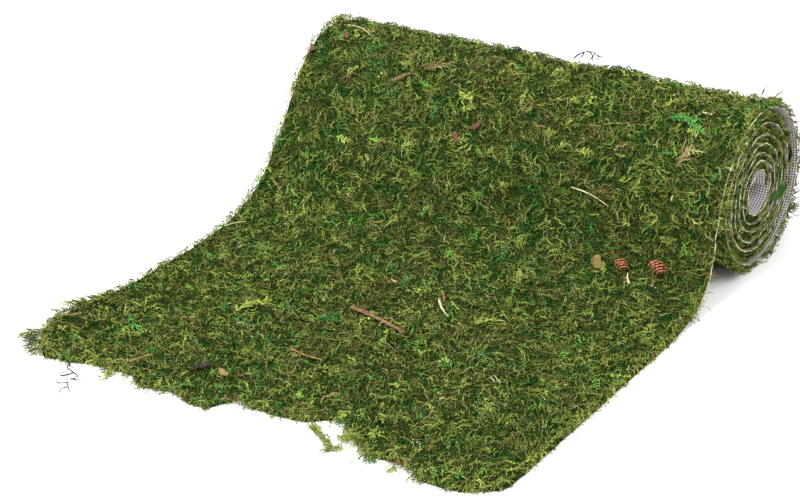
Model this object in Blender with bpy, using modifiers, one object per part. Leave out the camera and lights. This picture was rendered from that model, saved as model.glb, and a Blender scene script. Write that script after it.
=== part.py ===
"""A moss mat on a woven backing, its far part still rolled up and its near part unrolled flat.

Metres, +Z up. +X runs along the roll, +Y away from the flat part towards the roll. The origin is
on the floor, midway between the front edge of the mat and the back of the roll.
"""

import math

import bmesh
import bpy
from mathutils import Matrix, Vector

# Driving dimensions
MAT_WIDTH = 0.356           # the backing, from side to side
MOSS_OVERHANG = 0.002       # how far the shoots stand out past each side of the backing
BACKING_THICKNESS = 0.0006
MOSS_THICKNESS = 0.0045
GAP = 0.0003                # between pieces that touch
ROLL_RADIUS = 0.054         # outermost turn, to the middle of the backing
TURN_PITCH = 0.0061         # from one turn to the next
TURNS = 6.3                 # counted from the top of the roll
TURN_SLACK = 0.008          # how much looser the turns lie at the back of the roll
TURN_STEPS = 20             # facets in one turn
STEP_IN = 0.36              # share of a turn in which it steps inwards by one pitch
DEPTH = 0.4102              # from the front edge to the back of the roll
CLEARANCE = 0.0008          # under the small pieces that lie on the moss

# Small pieces
STALK_POINTS = 6
STALK_TAPER = 0.35          # share of a stalk's radius that is lost at its far end
CHIP_END = (0.6, 0.8)       # width and thickness of a chip's narrow end, as shares of its body's
CONE_STEPS = 12             # facets around a cone
CONE_SCALE_LENGTH = 0.55    # share of each ring of scales that stands out
CONE_GROOVE = 0.72          # radius between two rings, as a share of theirs
CONE_TAIL = 0.4             # of a ring, which closes the cone's end
CONE_FULLNESS = 0.7         # under 1 makes a cone blunter than a ball
LEAF_CELLS = 6              # along a leaf and across it
LEAF_SPAN = (0.05, 0.95)    # of a full oval, so that a leaf's ends are cut blunt
LEAF_FULLNESS = 0.6
LEAF_THICKNESS = 0.0004

# How the sheet comes down from the roll to the floor, at its left and right sides
LEAVE_ANGLE = (math.radians(45.3), math.radians(40.1))   # above the roll's frontmost line
FOOT_DISTANCE = (0.1812, 0.1376)                         # from the roll's middle to the flat part
TOP_HANDLE = (0.0586, 0.0681)
FOOT_HANDLE = (0.0967, 0.1000)
DROP_ROWS = 14
FRONT_ARC_ROWS = 5
SHEET_STRIPS = 3

# The ragged front edge of the moss, from left to right
FRONT_EDGE = (
    (-0.180, -0.1720), (-0.172, -0.1900), (-0.158, -0.2051), (-0.142, -0.1990), (-0.113, -0.1920),
    (-0.092, -0.1880), (-0.080, -0.1945), (-0.046, -0.1910), (-0.030, -0.1940), (-0.013, -0.1780),
    (0.019, -0.1770), (0.0486, -0.1650), (0.056, -0.1620), (0.072, -0.1740), (0.094, -0.1840),
    (0.115, -0.1800), (0.1305, -0.1870), (0.156, -0.1860), (0.172, -0.1740), (0.180, -0.1600),
)
BACKING_SETBACK = 0.004     # of the backing behind the ragged edge

MOSS_MIDDLE = BACKING_THICKNESS / 2 + GAP + MOSS_THICKNESS / 2
MOSS_TOP = MOSS_MIDDLE + MOSS_THICKNESS / 2
ROLL_OUTER = ROLL_RADIUS + MOSS_MIDDLE + MOSS_THICKNESS / 2 / math.cos(math.pi / TURN_STEPS)
ROLL_Y = DEPTH / 2 - ROLL_OUTER
ROLL_Z = ROLL_OUTER
FIRST_STEP = 1 - STEP_IN    # of each turn keeps its radius
START_TURN = -50 / 360      # where the sheet joins the roll, before the top

# Finishes: name, colour, roughness
SCRIM = ("Woven scrim", (0.42, 0.40, 0.42), 0.9)
MOSS = ("Preserved moss", (0.09, 0.14, 0.02), 0.95)
BROWN_WOOD = ("Weathered twig", (0.16, 0.09, 0.05), 0.8)
STRAW = ("Dry straw", (0.55, 0.44, 0.25), 0.7)
RUST_STRAW = ("Rusty straw", (0.45, 0.20, 0.07), 0.75)
CONE_BROWN = ("Cone scale", (0.22, 0.08, 0.04), 0.75)
BARK = ("Dark bark", (0.04, 0.025, 0.02), 0.9)
LEAF = ("Dry leaf", (0.30, 0.19, 0.09), 0.8)


def remove_everything():
    """Empty the scene."""
    for thing in list(bpy.data.objects):
        bpy.data.objects.remove(thing)


def make_collection(name):
    """A new collection under the scene."""
    collection = bpy.data.collections.new(name)
    bpy.context.scene.collection.children.link(collection)
    return collection


def make_material(finish):
    """The Principled material of a finish, made once."""
    name, colour, roughness = finish
    material = bpy.data.materials.get(name)
    if material is None:
        material = bpy.data.materials.new(name)
        material.use_nodes = True
        shader = material.node_tree.nodes["Principled BSDF"]
        shader.inputs["Base Color"].default_value = (*colour, 1.0)
        shader.inputs["Roughness"].default_value = roughness
        shader.inputs["Metallic"].default_value = 0.0
    return material


def add_object(collection, name, data, finish):
    """Link an object with its material."""
    thing = bpy.data.objects.new(name, data)
    data.materials.append(make_material(finish))
    collection.objects.link(thing)
    return thing


def ease(t):
    """A smooth ramp from 0 to 1."""
    t = min(max(t, 0.0), 1.0)
    return t * t * (3 - 2 * t)


def side_blend(pair, x):
    """A size that changes evenly from the left side of the mat to its right."""
    share = x / MAT_WIDTH + 0.5
    return pair[0] * (1 - share) + pair[1] * share


def turn_radius(turn):
    """Radius of the backing after a number of turns from the top of the roll, going over to the back.

    Each turn keeps its radius at first and then steps inwards by one pitch, and all turns after
    the first lie looser at the back.
    """
    from_start = turn - START_TURN
    whole = math.floor(from_start)
    step = ease((from_start - whole - FIRST_STEP) / STEP_IN)
    back_share = (1 - math.cos(math.pi / 2 + 2 * math.pi * turn)) / 2
    looser = TURN_SLACK * ease((turn - 0.55) / 0.6) * back_share
    return ROLL_RADIUS - TURN_PITCH * (whole + step) - looser


def around_roll(angle, radius):
    """(y, z) at an angle above the roll's frontmost line."""
    return Vector((ROLL_Y - radius * math.cos(angle), ROLL_Z + radius * math.sin(angle)))


def sheet_line(x):
    """(y, z) points along the middle of the backing, from the foot of the drop to the roll's core."""
    leave = side_blend(LEAVE_ANGLE, x)
    top = around_roll(leave, ROLL_RADIUS)
    top_handle = top - side_blend(TOP_HANDLE, x) * Vector((math.sin(leave), math.cos(leave)))
    foot = Vector((ROLL_Y - side_blend(FOOT_DISTANCE, x), BACKING_THICKNESS / 2))
    foot_handle = foot + Vector((side_blend(FOOT_HANDLE, x), 0))
    points = []
    for row in range(DROP_ROWS + 1):
        t = row / DROP_ROWS
        points.append((1 - t) ** 3 * foot + 3 * (1 - t) ** 2 * t * foot_handle
                      + 3 * (1 - t) * t * t * top_handle + t ** 3 * top)
    for row in range(1, FRONT_ARC_ROWS + 1):
        angle = leave + (math.pi / 2 - leave) * row / FRONT_ARC_ROWS
        points.append(around_roll(angle, ROLL_RADIUS))
    for row in range(1, round(TURNS * TURN_STEPS) + 1):
        turn = row / TURN_STEPS
        points.append(around_roll(math.pi / 2 + 2 * math.pi * turn, turn_radius(turn)))
    return points


def line_normals(points):
    """Unit normals of a (y, z) line, on its moss side."""
    normals = []
    for i in range(len(points)):
        before, after = points[max(i - 1, 0)], points[min(i + 1, len(points) - 1)]
        along = (after - before).normalized()
        normals.append(Vector((-along.y, along.x)))
    normals[0] = Vector((0, 1))
    return normals


def add_sheet(collection, name, offset, thickness, overhang, setback, finish):
    """One layer of the mat: an open surface at an offset from the backing's middle, made solid."""
    mesh = bpy.data.meshes.new(name)
    surface = bmesh.new()
    columns = []
    for i in range(SHEET_STRIPS + 1):
        share = i / SHEET_STRIPS
        line = sheet_line((share - 0.5) * MAT_WIDTH)
        normals = line_normals(line)
        x = (share - 0.5) * (MAT_WIDTH + 2 * overhang)
        places = [point + normal * offset for point, normal in zip(line, normals)]
        columns.append([surface.verts.new((x, place.x, place.y)) for place in places])
    for left, right in zip(columns, columns[1:]):
        for row in range(len(left) - 1):
            surface.faces.new((left[row], right[row], right[row + 1], left[row + 1]))
    foot_row = [column[0] for column in columns]
    floor_z = BACKING_THICKNESS / 2 + offset
    reach = (MAT_WIDTH / 2 + overhang) / FRONT_EDGE[-1][0]
    edge = [surface.verts.new((x * reach, y + setback, floor_z)) for x, y in FRONT_EDGE]
    surface.faces.new(edge + foot_row[::-1])
    surface.normal_update()
    surface.to_mesh(mesh)
    surface.free()
    sheet = add_object(collection, name, mesh, finish)
    solid = sheet.modifiers.new("Thickness", "SOLIDIFY")
    solid.thickness = thickness
    solid.offset = 0.0
    solid.use_even_offset = True
    return sheet


def sheet_frame(x, run):
    """Where the moss's outer face is, a distance along the sheet from the foot of its drop.

    A negative run is on the flat part. Gives a matrix: its X across the sheet, its Y along it
    towards the roll, its Z out of the moss.
    """
    line = sheet_line(x)
    if run <= 0:
        place, along = line[0] + Vector((run, 0)), Vector((1, 0))
    else:
        for start, end in zip(line, line[1:]):
            step = (end - start).length
            if run <= step:
                break
            run -= step
        along = (end - start).normalized()
        place = start + along * run
    outwards = Vector((-along.y, along.x))
    place = place + outwards * MOSS_TOP
    frame = Matrix.Translation((x, place.x, place.y))
    axes = Matrix(((1, 0, 0), (0, along.x, outwards.x), (0, along.y, outwards.y)))
    return frame @ axes.to_4x4()


def lay_stalk(collection, name, start, end, radius, bow, finish):
    """A thin stalk that follows the moss from one (x, run) place to another, bowed to one side."""
    curve = bpy.data.curves.new(name, "CURVE")
    curve.dimensions = "3D"
    curve.bevel_depth = radius
    curve.bevel_resolution = 2
    curve.use_fill_caps = True
    spline = curve.splines.new("POLY")
    spline.points.add(STALK_POINTS - 1)
    start, end = Vector(start), Vector(end)
    sideways = Vector((-(end - start).y, (end - start).x)).normalized()
    for i in range(STALK_POINTS):
        t = i / (STALK_POINTS - 1)
        at = start.lerp(end, t) + sideways * bow * math.sin(math.pi * t)
        place = sheet_frame(at.x, at.y) @ Vector((0, 0, radius + CLEARANCE))
        spline.points[i].co = (*place, 1.0)
        spline.points[i].radius = 1.0 - STALK_TAPER * t
    return add_object(collection, name, curve, finish)


def lay_chip(collection, name, place, size, turn, finish):
    """A flat, bevelled splinter of wood or bark, narrower at one end."""
    mesh = bpy.data.meshes.new(name)
    shape = bmesh.new()
    bmesh.ops.create_cube(shape, size=1.0, matrix=Matrix.Diagonal((*size, 1.0)))
    for vert in shape.verts:
        if vert.co.x > 0:
            vert.co.y *= CHIP_END[0]
            vert.co.z *= CHIP_END[1]
    shape.to_mesh(mesh)
    shape.free()
    chip = add_object(collection, name, mesh, finish)
    lift = Matrix.Translation((0, 0, size[2] / 2 + CLEARANCE))
    chip.matrix_world = sheet_frame(*place) @ lift @ Matrix.Rotation(turn, 4, "Z")
    bevel = chip.modifiers.new("Worn edges", "BEVEL")
    bevel.width = size[2] * 0.25
    bevel.segments = 2
    return chip


def lay_cone(collection, name, place, length, width, turn, lean, rows, finish):
    """A small seed cone: a turned body with one step for each ring of scales."""
    mesh = bpy.data.meshes.new(name)
    outline = bmesh.new()
    points = [(0.0, length / 2)]
    for row in range(rows):
        for in_groove, t in ((False, row + CONE_SCALE_LENGTH), (True, row + 1.0)):
            height = math.cos(math.pi * t / (rows + CONE_TAIL))
            radius = width / 2 * math.sin(math.pi * t / (rows + CONE_TAIL)) ** CONE_FULLNESS
            points.append((radius * (CONE_GROOVE if in_groove else 1.0), height * length / 2))
    points.append((0.0, -length / 2))
    verts = [outline.verts.new((x, 0, z)) for x, z in points]
    for a, b in zip(verts, verts[1:]):
        outline.edges.new((a, b))
    outline.to_mesh(mesh)
    outline.free()
    cone = add_object(collection, name, mesh, finish)
    screw = cone.modifiers.new("Turned", "SCREW")
    screw.steps = CONE_STEPS
    screw.render_steps = CONE_STEPS
    screw.use_merge_vertices = True
    screw.merge_threshold = 0.00005
    lift = Matrix.Translation((0, 0, width / 2 + CLEARANCE))
    tilt = Matrix.Rotation(turn, 4, "Z") @ Matrix.Rotation(lean, 4, "X")
    cone.matrix_world = sheet_frame(*place) @ lift @ tilt
    return cone


def lay_leaf(collection, name, place, length, width, curl, turn, finish):
    """A dry leaf or husk that is curled across its width, lying hollow side down."""
    mesh = bpy.data.meshes.new(name)
    surface = bmesh.new()
    radius = width / curl
    grid = []
    for i in range(LEAF_CELLS + 1):
        t = LEAF_SPAN[0] + (LEAF_SPAN[1] - LEAF_SPAN[0]) * i / LEAF_CELLS
        half = math.sin(math.pi * t) ** LEAF_FULLNESS
        line = []
        for j in range(LEAF_CELLS + 1):
            angle = (j / LEAF_CELLS - 0.5) * curl * half
            place_here = (radius * math.sin(angle), (t - 0.5) * length, radius * (math.cos(angle) - 1))
            line.append(surface.verts.new(place_here))
        grid.append(line)
    for near, far in zip(grid, grid[1:]):
        for j in range(LEAF_CELLS):
            surface.faces.new((near[j], near[j + 1], far[j + 1], far[j]))
    surface.to_mesh(mesh)
    surface.free()
    leaf = add_object(collection, name, mesh, finish)
    solid = leaf.modifiers.new("Thickness", "SOLIDIFY")
    solid.thickness = LEAF_THICKNESS
    solid.offset = 0.0
    drop = radius * (1 - math.cos(curl / 2))
    lift = Matrix.Translation((0, 0, drop + LEAF_THICKNESS + CLEARANCE))
    leaf.matrix_world = sheet_frame(*place) @ lift @ Matrix.Rotation(turn, 4, "Z")
    return leaf


def build():
    """The whole mat."""
    remove_everything()
    mat = make_collection("moss_mat")
    add_sheet(mat, "backing", 0.0, BACKING_THICKNESS, 0.0, BACKING_SETBACK, SCRIM)
    add_sheet(mat, "moss_layer", MOSS_MIDDLE, MOSS_THICKNESS, MOSS_OVERHANG, 0.0, MOSS)

    lay_chip(mat, "twig_long", (0.0037, -0.0394), (0.0515, 0.0038, 0.0020), math.radians(-15.4), BROWN_WOOD)
    lay_chip(mat, "bark_chip", (-0.056, -0.137), (0.010, 0.0055, 0.0025), math.radians(60), BARK)
    lay_chip(mat, "twig_short", (-0.096, -0.145), (0.016, 0.0024, 0.0014), math.radians(75), LEAF)

    lay_cone(mat, "cone_large", (0.1435, 0.0832), 0.0140, 0.0105, 0.5, math.radians(80), 5, CONE_BROWN)
    lay_cone(mat, "cone_small", (0.1195, 0.0777), 0.0115, 0.0095, 0.5, math.radians(75), 4, CONE_BROWN)
    lay_leaf(mat, "bud_husk", (0.1020, 0.0750), 0.0120, 0.0065, 2.4, 0.35, LEAF)
    lay_leaf(mat, "leaf_front", (-0.0370, -0.1400), 0.0110, 0.0055, 2.2, math.radians(70), LEAF)
    lay_leaf(mat, "leaf_upper", (-0.0258, 0.1369), 0.0085, 0.0050, 1.6, 0.6, LEAF)
    lay_leaf(mat, "leaf_lower", (-0.0110, 0.1478), 0.0095, 0.0040, 1.8, -0.9, LEAF)

    lay_stalk(mat, "cone_stalk", (0.1296, 0.0590), (0.1250, 0.0690), 0.0009, 0.0004, STRAW)
    lay_stalk(mat, "straw_rise", (0.0730, 0.1250), (0.1026, 0.1188), 0.0006, 0.0012, STRAW)
    lay_stalk(mat, "straw_left", (-0.1714, 0.0290), (-0.1608, 0.0395), 0.0006, 0.0015, STRAW)
    lay_stalk(mat, "straw_top", (-0.1628, 0.2060), (-0.1323, 0.1960), 0.0006, 0.0020, STRAW)
    lay_stalk(mat, "straw_fork_long", (0.0257, -0.0036), (0.0441, -0.0213), 0.0008, -0.0006, STRAW)
    lay_stalk(mat, "straw_fork_short", (0.0209, 0.0076), (0.0316, -0.0068), 0.0007, 0.0006, RUST_STRAW)
    lay_stalk(mat, "straw_rusty", (-0.0226, -0.0965), (0.0086, -0.1033), 0.0007, 0.0022, RUST_STRAW)
    lay_stalk(mat, "straw_pair_near", (0.1085, -0.0765), (0.1165, -0.0835), 0.0006, 0.0003, STRAW)
    lay_stalk(mat, "straw_pair_far", (0.1110, -0.0745), (0.1190, -0.0810), 0.0006, -0.0003, STRAW)
    lay_stalk(mat, "straw_edge", (0.1175, -0.1765), (0.1235, -0.1855), 0.0006, 0.0, RUST_STRAW)
    lay_stalk(mat, "stem_brown", (-0.0915, 0.1640), (-0.0790, 0.1722), 0.0010, 0.0010, BROWN_WOOD)


build()
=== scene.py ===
"""The looks of a moss mat, part unrolled: preserved sheet moss on a woven scrim backing.

Everything that grows or lies on the mat is first built in sheet space, as (x, run, height):
x across the mat, run along it from the foot of its drop, and height out of the backing's middle.
MatShape then wraps it onto the flat part, the drop and the roll. Metres, +Z up.
"""

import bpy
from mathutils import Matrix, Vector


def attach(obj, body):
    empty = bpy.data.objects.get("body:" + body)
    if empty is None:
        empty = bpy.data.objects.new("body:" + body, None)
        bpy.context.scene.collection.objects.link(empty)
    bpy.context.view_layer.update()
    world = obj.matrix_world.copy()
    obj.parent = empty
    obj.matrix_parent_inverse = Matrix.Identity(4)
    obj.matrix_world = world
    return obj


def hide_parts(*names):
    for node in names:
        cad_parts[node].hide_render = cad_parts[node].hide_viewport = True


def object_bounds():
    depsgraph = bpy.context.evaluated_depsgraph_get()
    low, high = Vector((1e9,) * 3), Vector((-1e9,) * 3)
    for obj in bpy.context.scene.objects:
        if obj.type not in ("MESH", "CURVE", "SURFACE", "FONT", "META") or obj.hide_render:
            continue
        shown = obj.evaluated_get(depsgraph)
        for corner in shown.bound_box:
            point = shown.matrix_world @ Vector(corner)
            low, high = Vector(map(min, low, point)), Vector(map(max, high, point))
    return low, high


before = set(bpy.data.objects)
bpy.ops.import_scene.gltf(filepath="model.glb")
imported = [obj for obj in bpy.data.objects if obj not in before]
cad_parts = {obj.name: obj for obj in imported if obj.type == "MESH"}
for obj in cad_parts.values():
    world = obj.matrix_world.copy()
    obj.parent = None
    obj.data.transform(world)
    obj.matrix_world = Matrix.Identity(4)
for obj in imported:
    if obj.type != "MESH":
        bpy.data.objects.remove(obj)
CAD_BOX = [list(map(float, corner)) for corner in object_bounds()]

import logging
import math
from dataclasses import dataclass, field
from enum import Enum
from typing import Optional

import bpy
import numpy as np
from mathutils import Matrix, Vector

LOG = logging.getLogger("moss_mat")
MM = 0.001                  # patterns' sizes are given in millimetres
SURFACE_MAP = "OFBake"
FLOOR_CLEARANCE = 0.0003
FERN_STEM_RADIUS = 0.0003
LIGHT_AIM = (0, 0, 0.04)
TURNED = [0, 3, 2, 1]       # a quad's corners in the other order


def linear(code: str) -> tuple[float, float, float, float]:
    """Turn an sRGB hex colour into linear RGBA.

    Args:
        code: six hex digits, with or without a leading #.

    Returns:
        Linear red, green, blue and an alpha of 1.
    """
    digits = code.lstrip("#")
    channels = [int(digits[i : i + 2], 16) / 255 for i in (0, 2, 4)]
    curve = [c / 12.92 if c <= 0.04045 else ((c + 0.055) / 1.055) ** 2.4 for c in channels]
    return (*curve, 1.0)


def feed(tree: bpy.types.NodeTree, node: bpy.types.Node, links: dict) -> None:
    """Link output sockets to a node's inputs, which are given by name or number."""
    for key, socket in links.items():
        tree.links.new(socket, node.inputs[key])


def add_node(tree: bpy.types.NodeTree, kind: str, settings: Optional[dict] = None,
             links: Optional[dict] = None) -> bpy.types.Node:
    """Add a node with its settings and links.

    Args:
        tree: the node tree that takes it.
        kind: the node's type name.
        settings: property or input names, or input numbers, with their values. The "stops" of a
            colour ramp are its places with their hex colours.
        links: input names or numbers, with the output sockets that feed them.

    Returns:
        The new node.
    """
    node = tree.nodes.new(kind)
    for key, value in (settings or {}).items():
        if key == "stops":
            for _ in value[2:]:
                node.color_ramp.elements.new(0.5)
            for element, (place, code) in zip(node.color_ramp.elements, value):
                element.position = place
                element.color = linear(code)
        elif isinstance(key, int) or key in node.inputs:
            node.inputs[key].default_value = value
        else:
            setattr(node, key, value)
    feed(tree, node, links or {})
    return node


def start_material(name: str, roughness: float) -> tuple:
    """Make a material.

    Args:
        name: what it is, and how its surface was made.
        roughness: its shader's roughness.

    Returns:
        The material, its node tree and its Principled shader.
    """
    material = bpy.data.materials.new(name)
    material.use_nodes = True
    shader = material.node_tree.nodes["Principled BSDF"]
    shader.inputs["Roughness"].default_value = roughness
    return material, material.node_tree, shader


def ease(t: np.ndarray) -> np.ndarray:
    """A smooth ramp from 0 to 1."""
    t = np.clip(t, 0.0, 1.0)
    return t * t * (3 - 2 * t)


def unit(vectors: np.ndarray) -> np.ndarray:
    """The same directions with a length of 1."""
    return vectors / np.linalg.norm(vectors, axis=-1, keepdims=True)


def grid_quads(rows: int, columns: int) -> np.ndarray:
    """Quads between neighbours on a grid of points that are numbered row by row."""
    number = np.arange(rows * columns).reshape(rows, columns)
    corners = number[:-1, :-1], number[1:, :-1], number[1:, 1:], number[:-1, 1:]
    return np.stack(corners, -1).reshape(-1, 4)


def map_quads(near: np.ndarray, far: np.ndarray, low: np.ndarray, high: np.ndarray) -> np.ndarray:
    """Surface-map places of quads whose corners go near low, far low, far high, near high."""
    corners = (near, low), (far, low), (far, high), (near, high)
    return np.stack([np.stack(corner, -1) for corner in corners], -2)


def soft_noise(x: np.ndarray, y: np.ndarray, size: float, seed: int) -> np.ndarray:
    """Smooth random values from -1 to 1 over a plane.

    Args:
        x: first coordinates, in metres.
        y: second coordinates, in metres.
        size: the width of one lump, in metres.
        seed: picks the pattern.

    Returns:
        One value for each point.
    """
    table = np.random.default_rng(seed).uniform(-1, 1, (64, 64))
    u, v = np.asarray(x) / size + 31.7, np.asarray(y) / size + 17.3
    i, j = np.floor(u).astype(int), np.floor(v).astype(int)
    fu, fv = ease(u - i), ease(v - j)
    near = table[i % 64, j % 64] * (1 - fu) + table[(i + 1) % 64, j % 64] * fu
    far = table[i % 64, (j + 1) % 64] * (1 - fu) + table[(i + 1) % 64, (j + 1) % 64] * fu
    return near * (1 - fv) + far * fv


@dataclass(frozen=True)
class Tufts:
    """The tufts that the moss grew in, each of one hue and combed one way.

    Sheet space is shared out among jittered grid points, and each point's nearest one is its tuft.
    """

    spacing: float = 0.0085
    table_size: int = 128
    seed: int = 5

    def find(self, x: np.ndarray, run: np.ndarray) -> tuple[np.ndarray, np.ndarray]:
        """Tell which tuft a place belongs to.

        Args:
            x: places across the mat.
            run: places along it.

        Returns:
            Four random values from 0 to 1 that belong to the tuft, and how far inside it the place
            is, from 0 at its border to 1 in its middle.
        """
        rng, size = np.random.default_rng(self.seed), self.table_size
        shifts, values = rng.uniform(0.05, 0.95, (size, size, 2)), rng.random((size, size, 4))
        warp = 0.7 * soft_noise(x, run, 0.012, 41), 0.7 * soft_noise(x, run, 0.012, 42)
        u, v = x / self.spacing + size + warp[0], run / self.spacing + size + warp[1]
        i, j = np.floor(u).astype(int), np.floor(v).astype(int)
        nearest, second = np.full(u.shape, np.inf), np.full(u.shape, np.inf)
        owner = np.zeros((2, *u.shape), int)
        for a in (i - 1, i, i + 1):
            for b in (j - 1, j, j + 1):
                spot = shifts[a % size, b % size]
                distance = np.hypot(a + spot[..., 0] - u, b + spot[..., 1] - v)
                closer = distance < nearest
                second = np.where(closer, nearest, np.minimum(second, distance))
                owner = np.where(closer, np.stack([a % size, b % size]), owner)
                nearest = np.minimum(nearest, distance)
        return values[owner[0], owner[1]], np.clip((second - nearest) / 0.9, 0, 1)


class Side(Enum):
    """The two long edges of the mat."""

    LEFT = -1
    RIGHT = 1


class Growth(Enum):
    """The shapes that a shoot can have."""

    LEAFY = "leafy"
    CORD = "cord"
    THREAD = "thread"
    FERN = "fern"


class Hue(Enum):
    """Bands of the moss's colour scale, as the lowest and highest place of each."""

    BROWN = (0.01, 0.13)
    STRAW = (0.15, 0.22)
    OLIVE = (0.28, 0.42)
    GREEN = (0.42, 0.56)
    YELLOW = (0.58, 0.67)
    PALE = (0.69, 0.79)
    EMERALD = (0.84, 0.94)
    GRASS = (0.95, 0.999)

    def pick(self, rng: np.random.Generator, count: int) -> np.ndarray:
        """Random places within the band."""
        return rng.uniform(*self.value, count)


@dataclass
class MatShape:
    """The path of the mat's backing, and the map from sheet space onto it.

    The sizes are the frame's own: the roll stands on its outermost moss, and the sheet leaves it
    in front and comes down to the floor in one curve that differs a little from side to side.
    """

    width: float = 0.356
    backing: float = 0.0006
    moss: float = 0.0045
    gap: float = 0.0003
    roll_radius: float = 0.054
    turn_pitch: float = 0.0061
    turns: float = 6.3
    turn_slack: float = 0.008
    step_in: float = 0.36
    start_turn: float = -50 / 360
    leave_angle: tuple[float, float] = (math.radians(45.3), math.radians(40.1))
    foot_distance: tuple[float, float] = (0.1812, 0.1376)
    top_handle: tuple[float, float] = (0.0586, 0.0681)
    foot_handle: tuple[float, float] = (0.0967, 0.1000)
    facets: int = 20
    drop_rows: int = 56
    arc_rows: int = 20
    turn_rows: int = 80
    columns: int = 9
    lump_height: float = 0.0028
    lump_sizes: tuple[float, float] = (0.027, 0.011)
    lump_shares: tuple[float, float] = (0.65, 0.35)
    dome_height: float = 0.0016
    rim_width: float = 0.012
    least_height: float = 0.0005
    wobble: float = 0.0010
    wobble_size: float = 0.021
    squeeze: float = 0.0032
    ragged: float = 0.0014
    tufts: Tufts = Tufts()
    shown_turns: float = 0.86
    bulge: float = 0.010
    bulge_run: float = -0.118
    front_edge: tuple = (
        (-0.180, -0.1720), (-0.170, -0.1865), (-0.158, -0.1985), (-0.142, -0.1960), (-0.126, -0.1900),
        (-0.098, -0.1860), (-0.091, -0.1850), (-0.081, -0.1930), (-0.071, -0.1910), (-0.049, -0.1865),
        (-0.038, -0.1915), (-0.0235, -0.1890), (-0.020, -0.1810), (-0.013, -0.1725), (-0.002, -0.1760),
        (0.019, -0.1735), (0.035, -0.1705), (0.0486, -0.1600), (0.0555, -0.1560), (0.066, -0.1655),
        (0.084, -0.1755), (0.094, -0.1815), (0.099, -0.1780), (0.116, -0.1755), (0.123, -0.1770),
        (0.1305, -0.1850), (0.142, -0.1820), (0.156, -0.1825), (0.166, -0.1750), (0.175, -0.1700),
        (0.180, -0.1580),
    )

    def __post_init__(self) -> None:
        """Trace the sheet at a few places across its width."""
        high = CAD_BOX[1]
        outer = self.backing / 2 + self.gap + self.moss / 2
        outer += self.moss / 2 / math.cos(math.pi / self.facets) + self.roll_radius
        self.roll_y = high[1] - outer
        self.roll_z = outer
        self.column_x = np.linspace(-self.width / 2, self.width / 2, self.columns)
        self.lines = np.array([self.trace(x) for x in self.column_x])
        self.alongs = unit(np.gradient(self.lines, axis=1))
        self.alongs[:, 0] = (1.0, 0.0)
        middle = self.lines[self.columns // 2]
        lengths = np.linalg.norm(np.diff(middle, axis=0), axis=1)
        self.runs = np.concatenate([[0.0], np.cumsum(lengths)])
        self.top_run = self.run_at_turn(0.0)
        self.shown_run = self.run_at_turn(self.shown_turns)
        self.end_run = float(self.runs[-1])

    def across(self, pair: tuple[float, float], x: np.ndarray) -> np.ndarray:
        """A size that changes evenly from the mat's left side to its right."""
        share = np.asarray(x) / self.width + 0.5
        return pair[0] * (1 - share) + pair[1] * share

    def around(self, angle: np.ndarray, radius: np.ndarray) -> np.ndarray:
        """(y, z) at an angle above the roll's frontmost line."""
        return np.stack([self.roll_y - radius * np.cos(angle), self.roll_z + radius * np.sin(angle)], -1)

    def turn_radius(self, turn: np.ndarray) -> np.ndarray:
        """How far the backing is from the roll's middle.

        Args:
            turn: turns from the top of the roll.

        Returns:
            The radius at each.
        """
        from_start = turn - self.start_turn
        whole = np.floor(from_start)
        step = ease((from_start - whole - 1 + self.step_in) / self.step_in)
        back = (1 - np.cos(math.pi / 2 + 2 * math.pi * turn)) / 2
        looser = self.turn_slack * ease((turn - 0.55) / 0.6) * back
        return self.roll_radius - self.turn_pitch * (whole + step) - looser

    def trace(self, x: float) -> np.ndarray:
        """The backing's middle line at one place across the mat.

        Args:
            x: the place across the mat.

        Returns:
            (y, z) points from the foot of the drop to the core of the roll.
        """
        leave = float(self.across(self.leave_angle, x))
        top = self.around(leave, self.roll_radius)
        slope = np.array([math.sin(leave), math.cos(leave)])
        top_handle = top - float(self.across(self.top_handle, x)) * slope
        foot = np.array([self.roll_y - float(self.across(self.foot_distance, x)), self.backing / 2])
        foot_handle = foot + np.array([float(self.across(self.foot_handle, x)), 0.0])
        t = np.linspace(0, 1, self.drop_rows + 1)[:, None]
        drop = (1 - t) ** 3 * foot + 3 * (1 - t) ** 2 * t * foot_handle
        drop = drop + 3 * (1 - t) * t * t * top_handle + t**3 * top
        angles = np.linspace(leave, math.pi / 2, self.arc_rows + 1)[1:]
        arc = self.around(angles, np.full_like(angles, self.roll_radius))
        turn = np.arange(1, round(self.turns * self.turn_rows) + 1) / self.turn_rows
        spiral = self.around(math.pi / 2 + 2 * math.pi * turn, self.turn_radius(turn))
        return np.concatenate([drop, arc, spiral])

    def run_at_turn(self, turn: float) -> float:
        """How far along the sheet a number of turns from the top of the roll lies."""
        return float(np.interp(self.drop_rows + self.arc_rows + turn * self.turn_rows,
                               np.arange(len(self.runs)), self.runs))

    def foot_y(self, x: np.ndarray) -> np.ndarray:
        """Where the flat part ends and the drop begins."""
        return self.roll_y - self.across(self.foot_distance, x)

    def front_run(self, x: np.ndarray) -> np.ndarray:
        """The run of the ragged front edge."""
        edge = np.array(self.front_edge)
        torn = self.ragged * (soft_noise(x, x * 0, 0.010, 71) + 0.5 * soft_noise(x, x * 0, 0.004, 72))
        return np.interp(x, edge[:, 0], edge[:, 1]) + torn - self.foot_y(x)

    def front_at(self, x: float) -> float:
        """The run of the front edge at one place across the mat."""
        return float(self.front_run(np.array([x]))[0])

    def frontmost(self) -> float:
        """The run of the front edge where it lies furthest out."""
        return float(self.front_run(np.linspace(-self.width / 2, self.width / 2, 60)).min())

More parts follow.
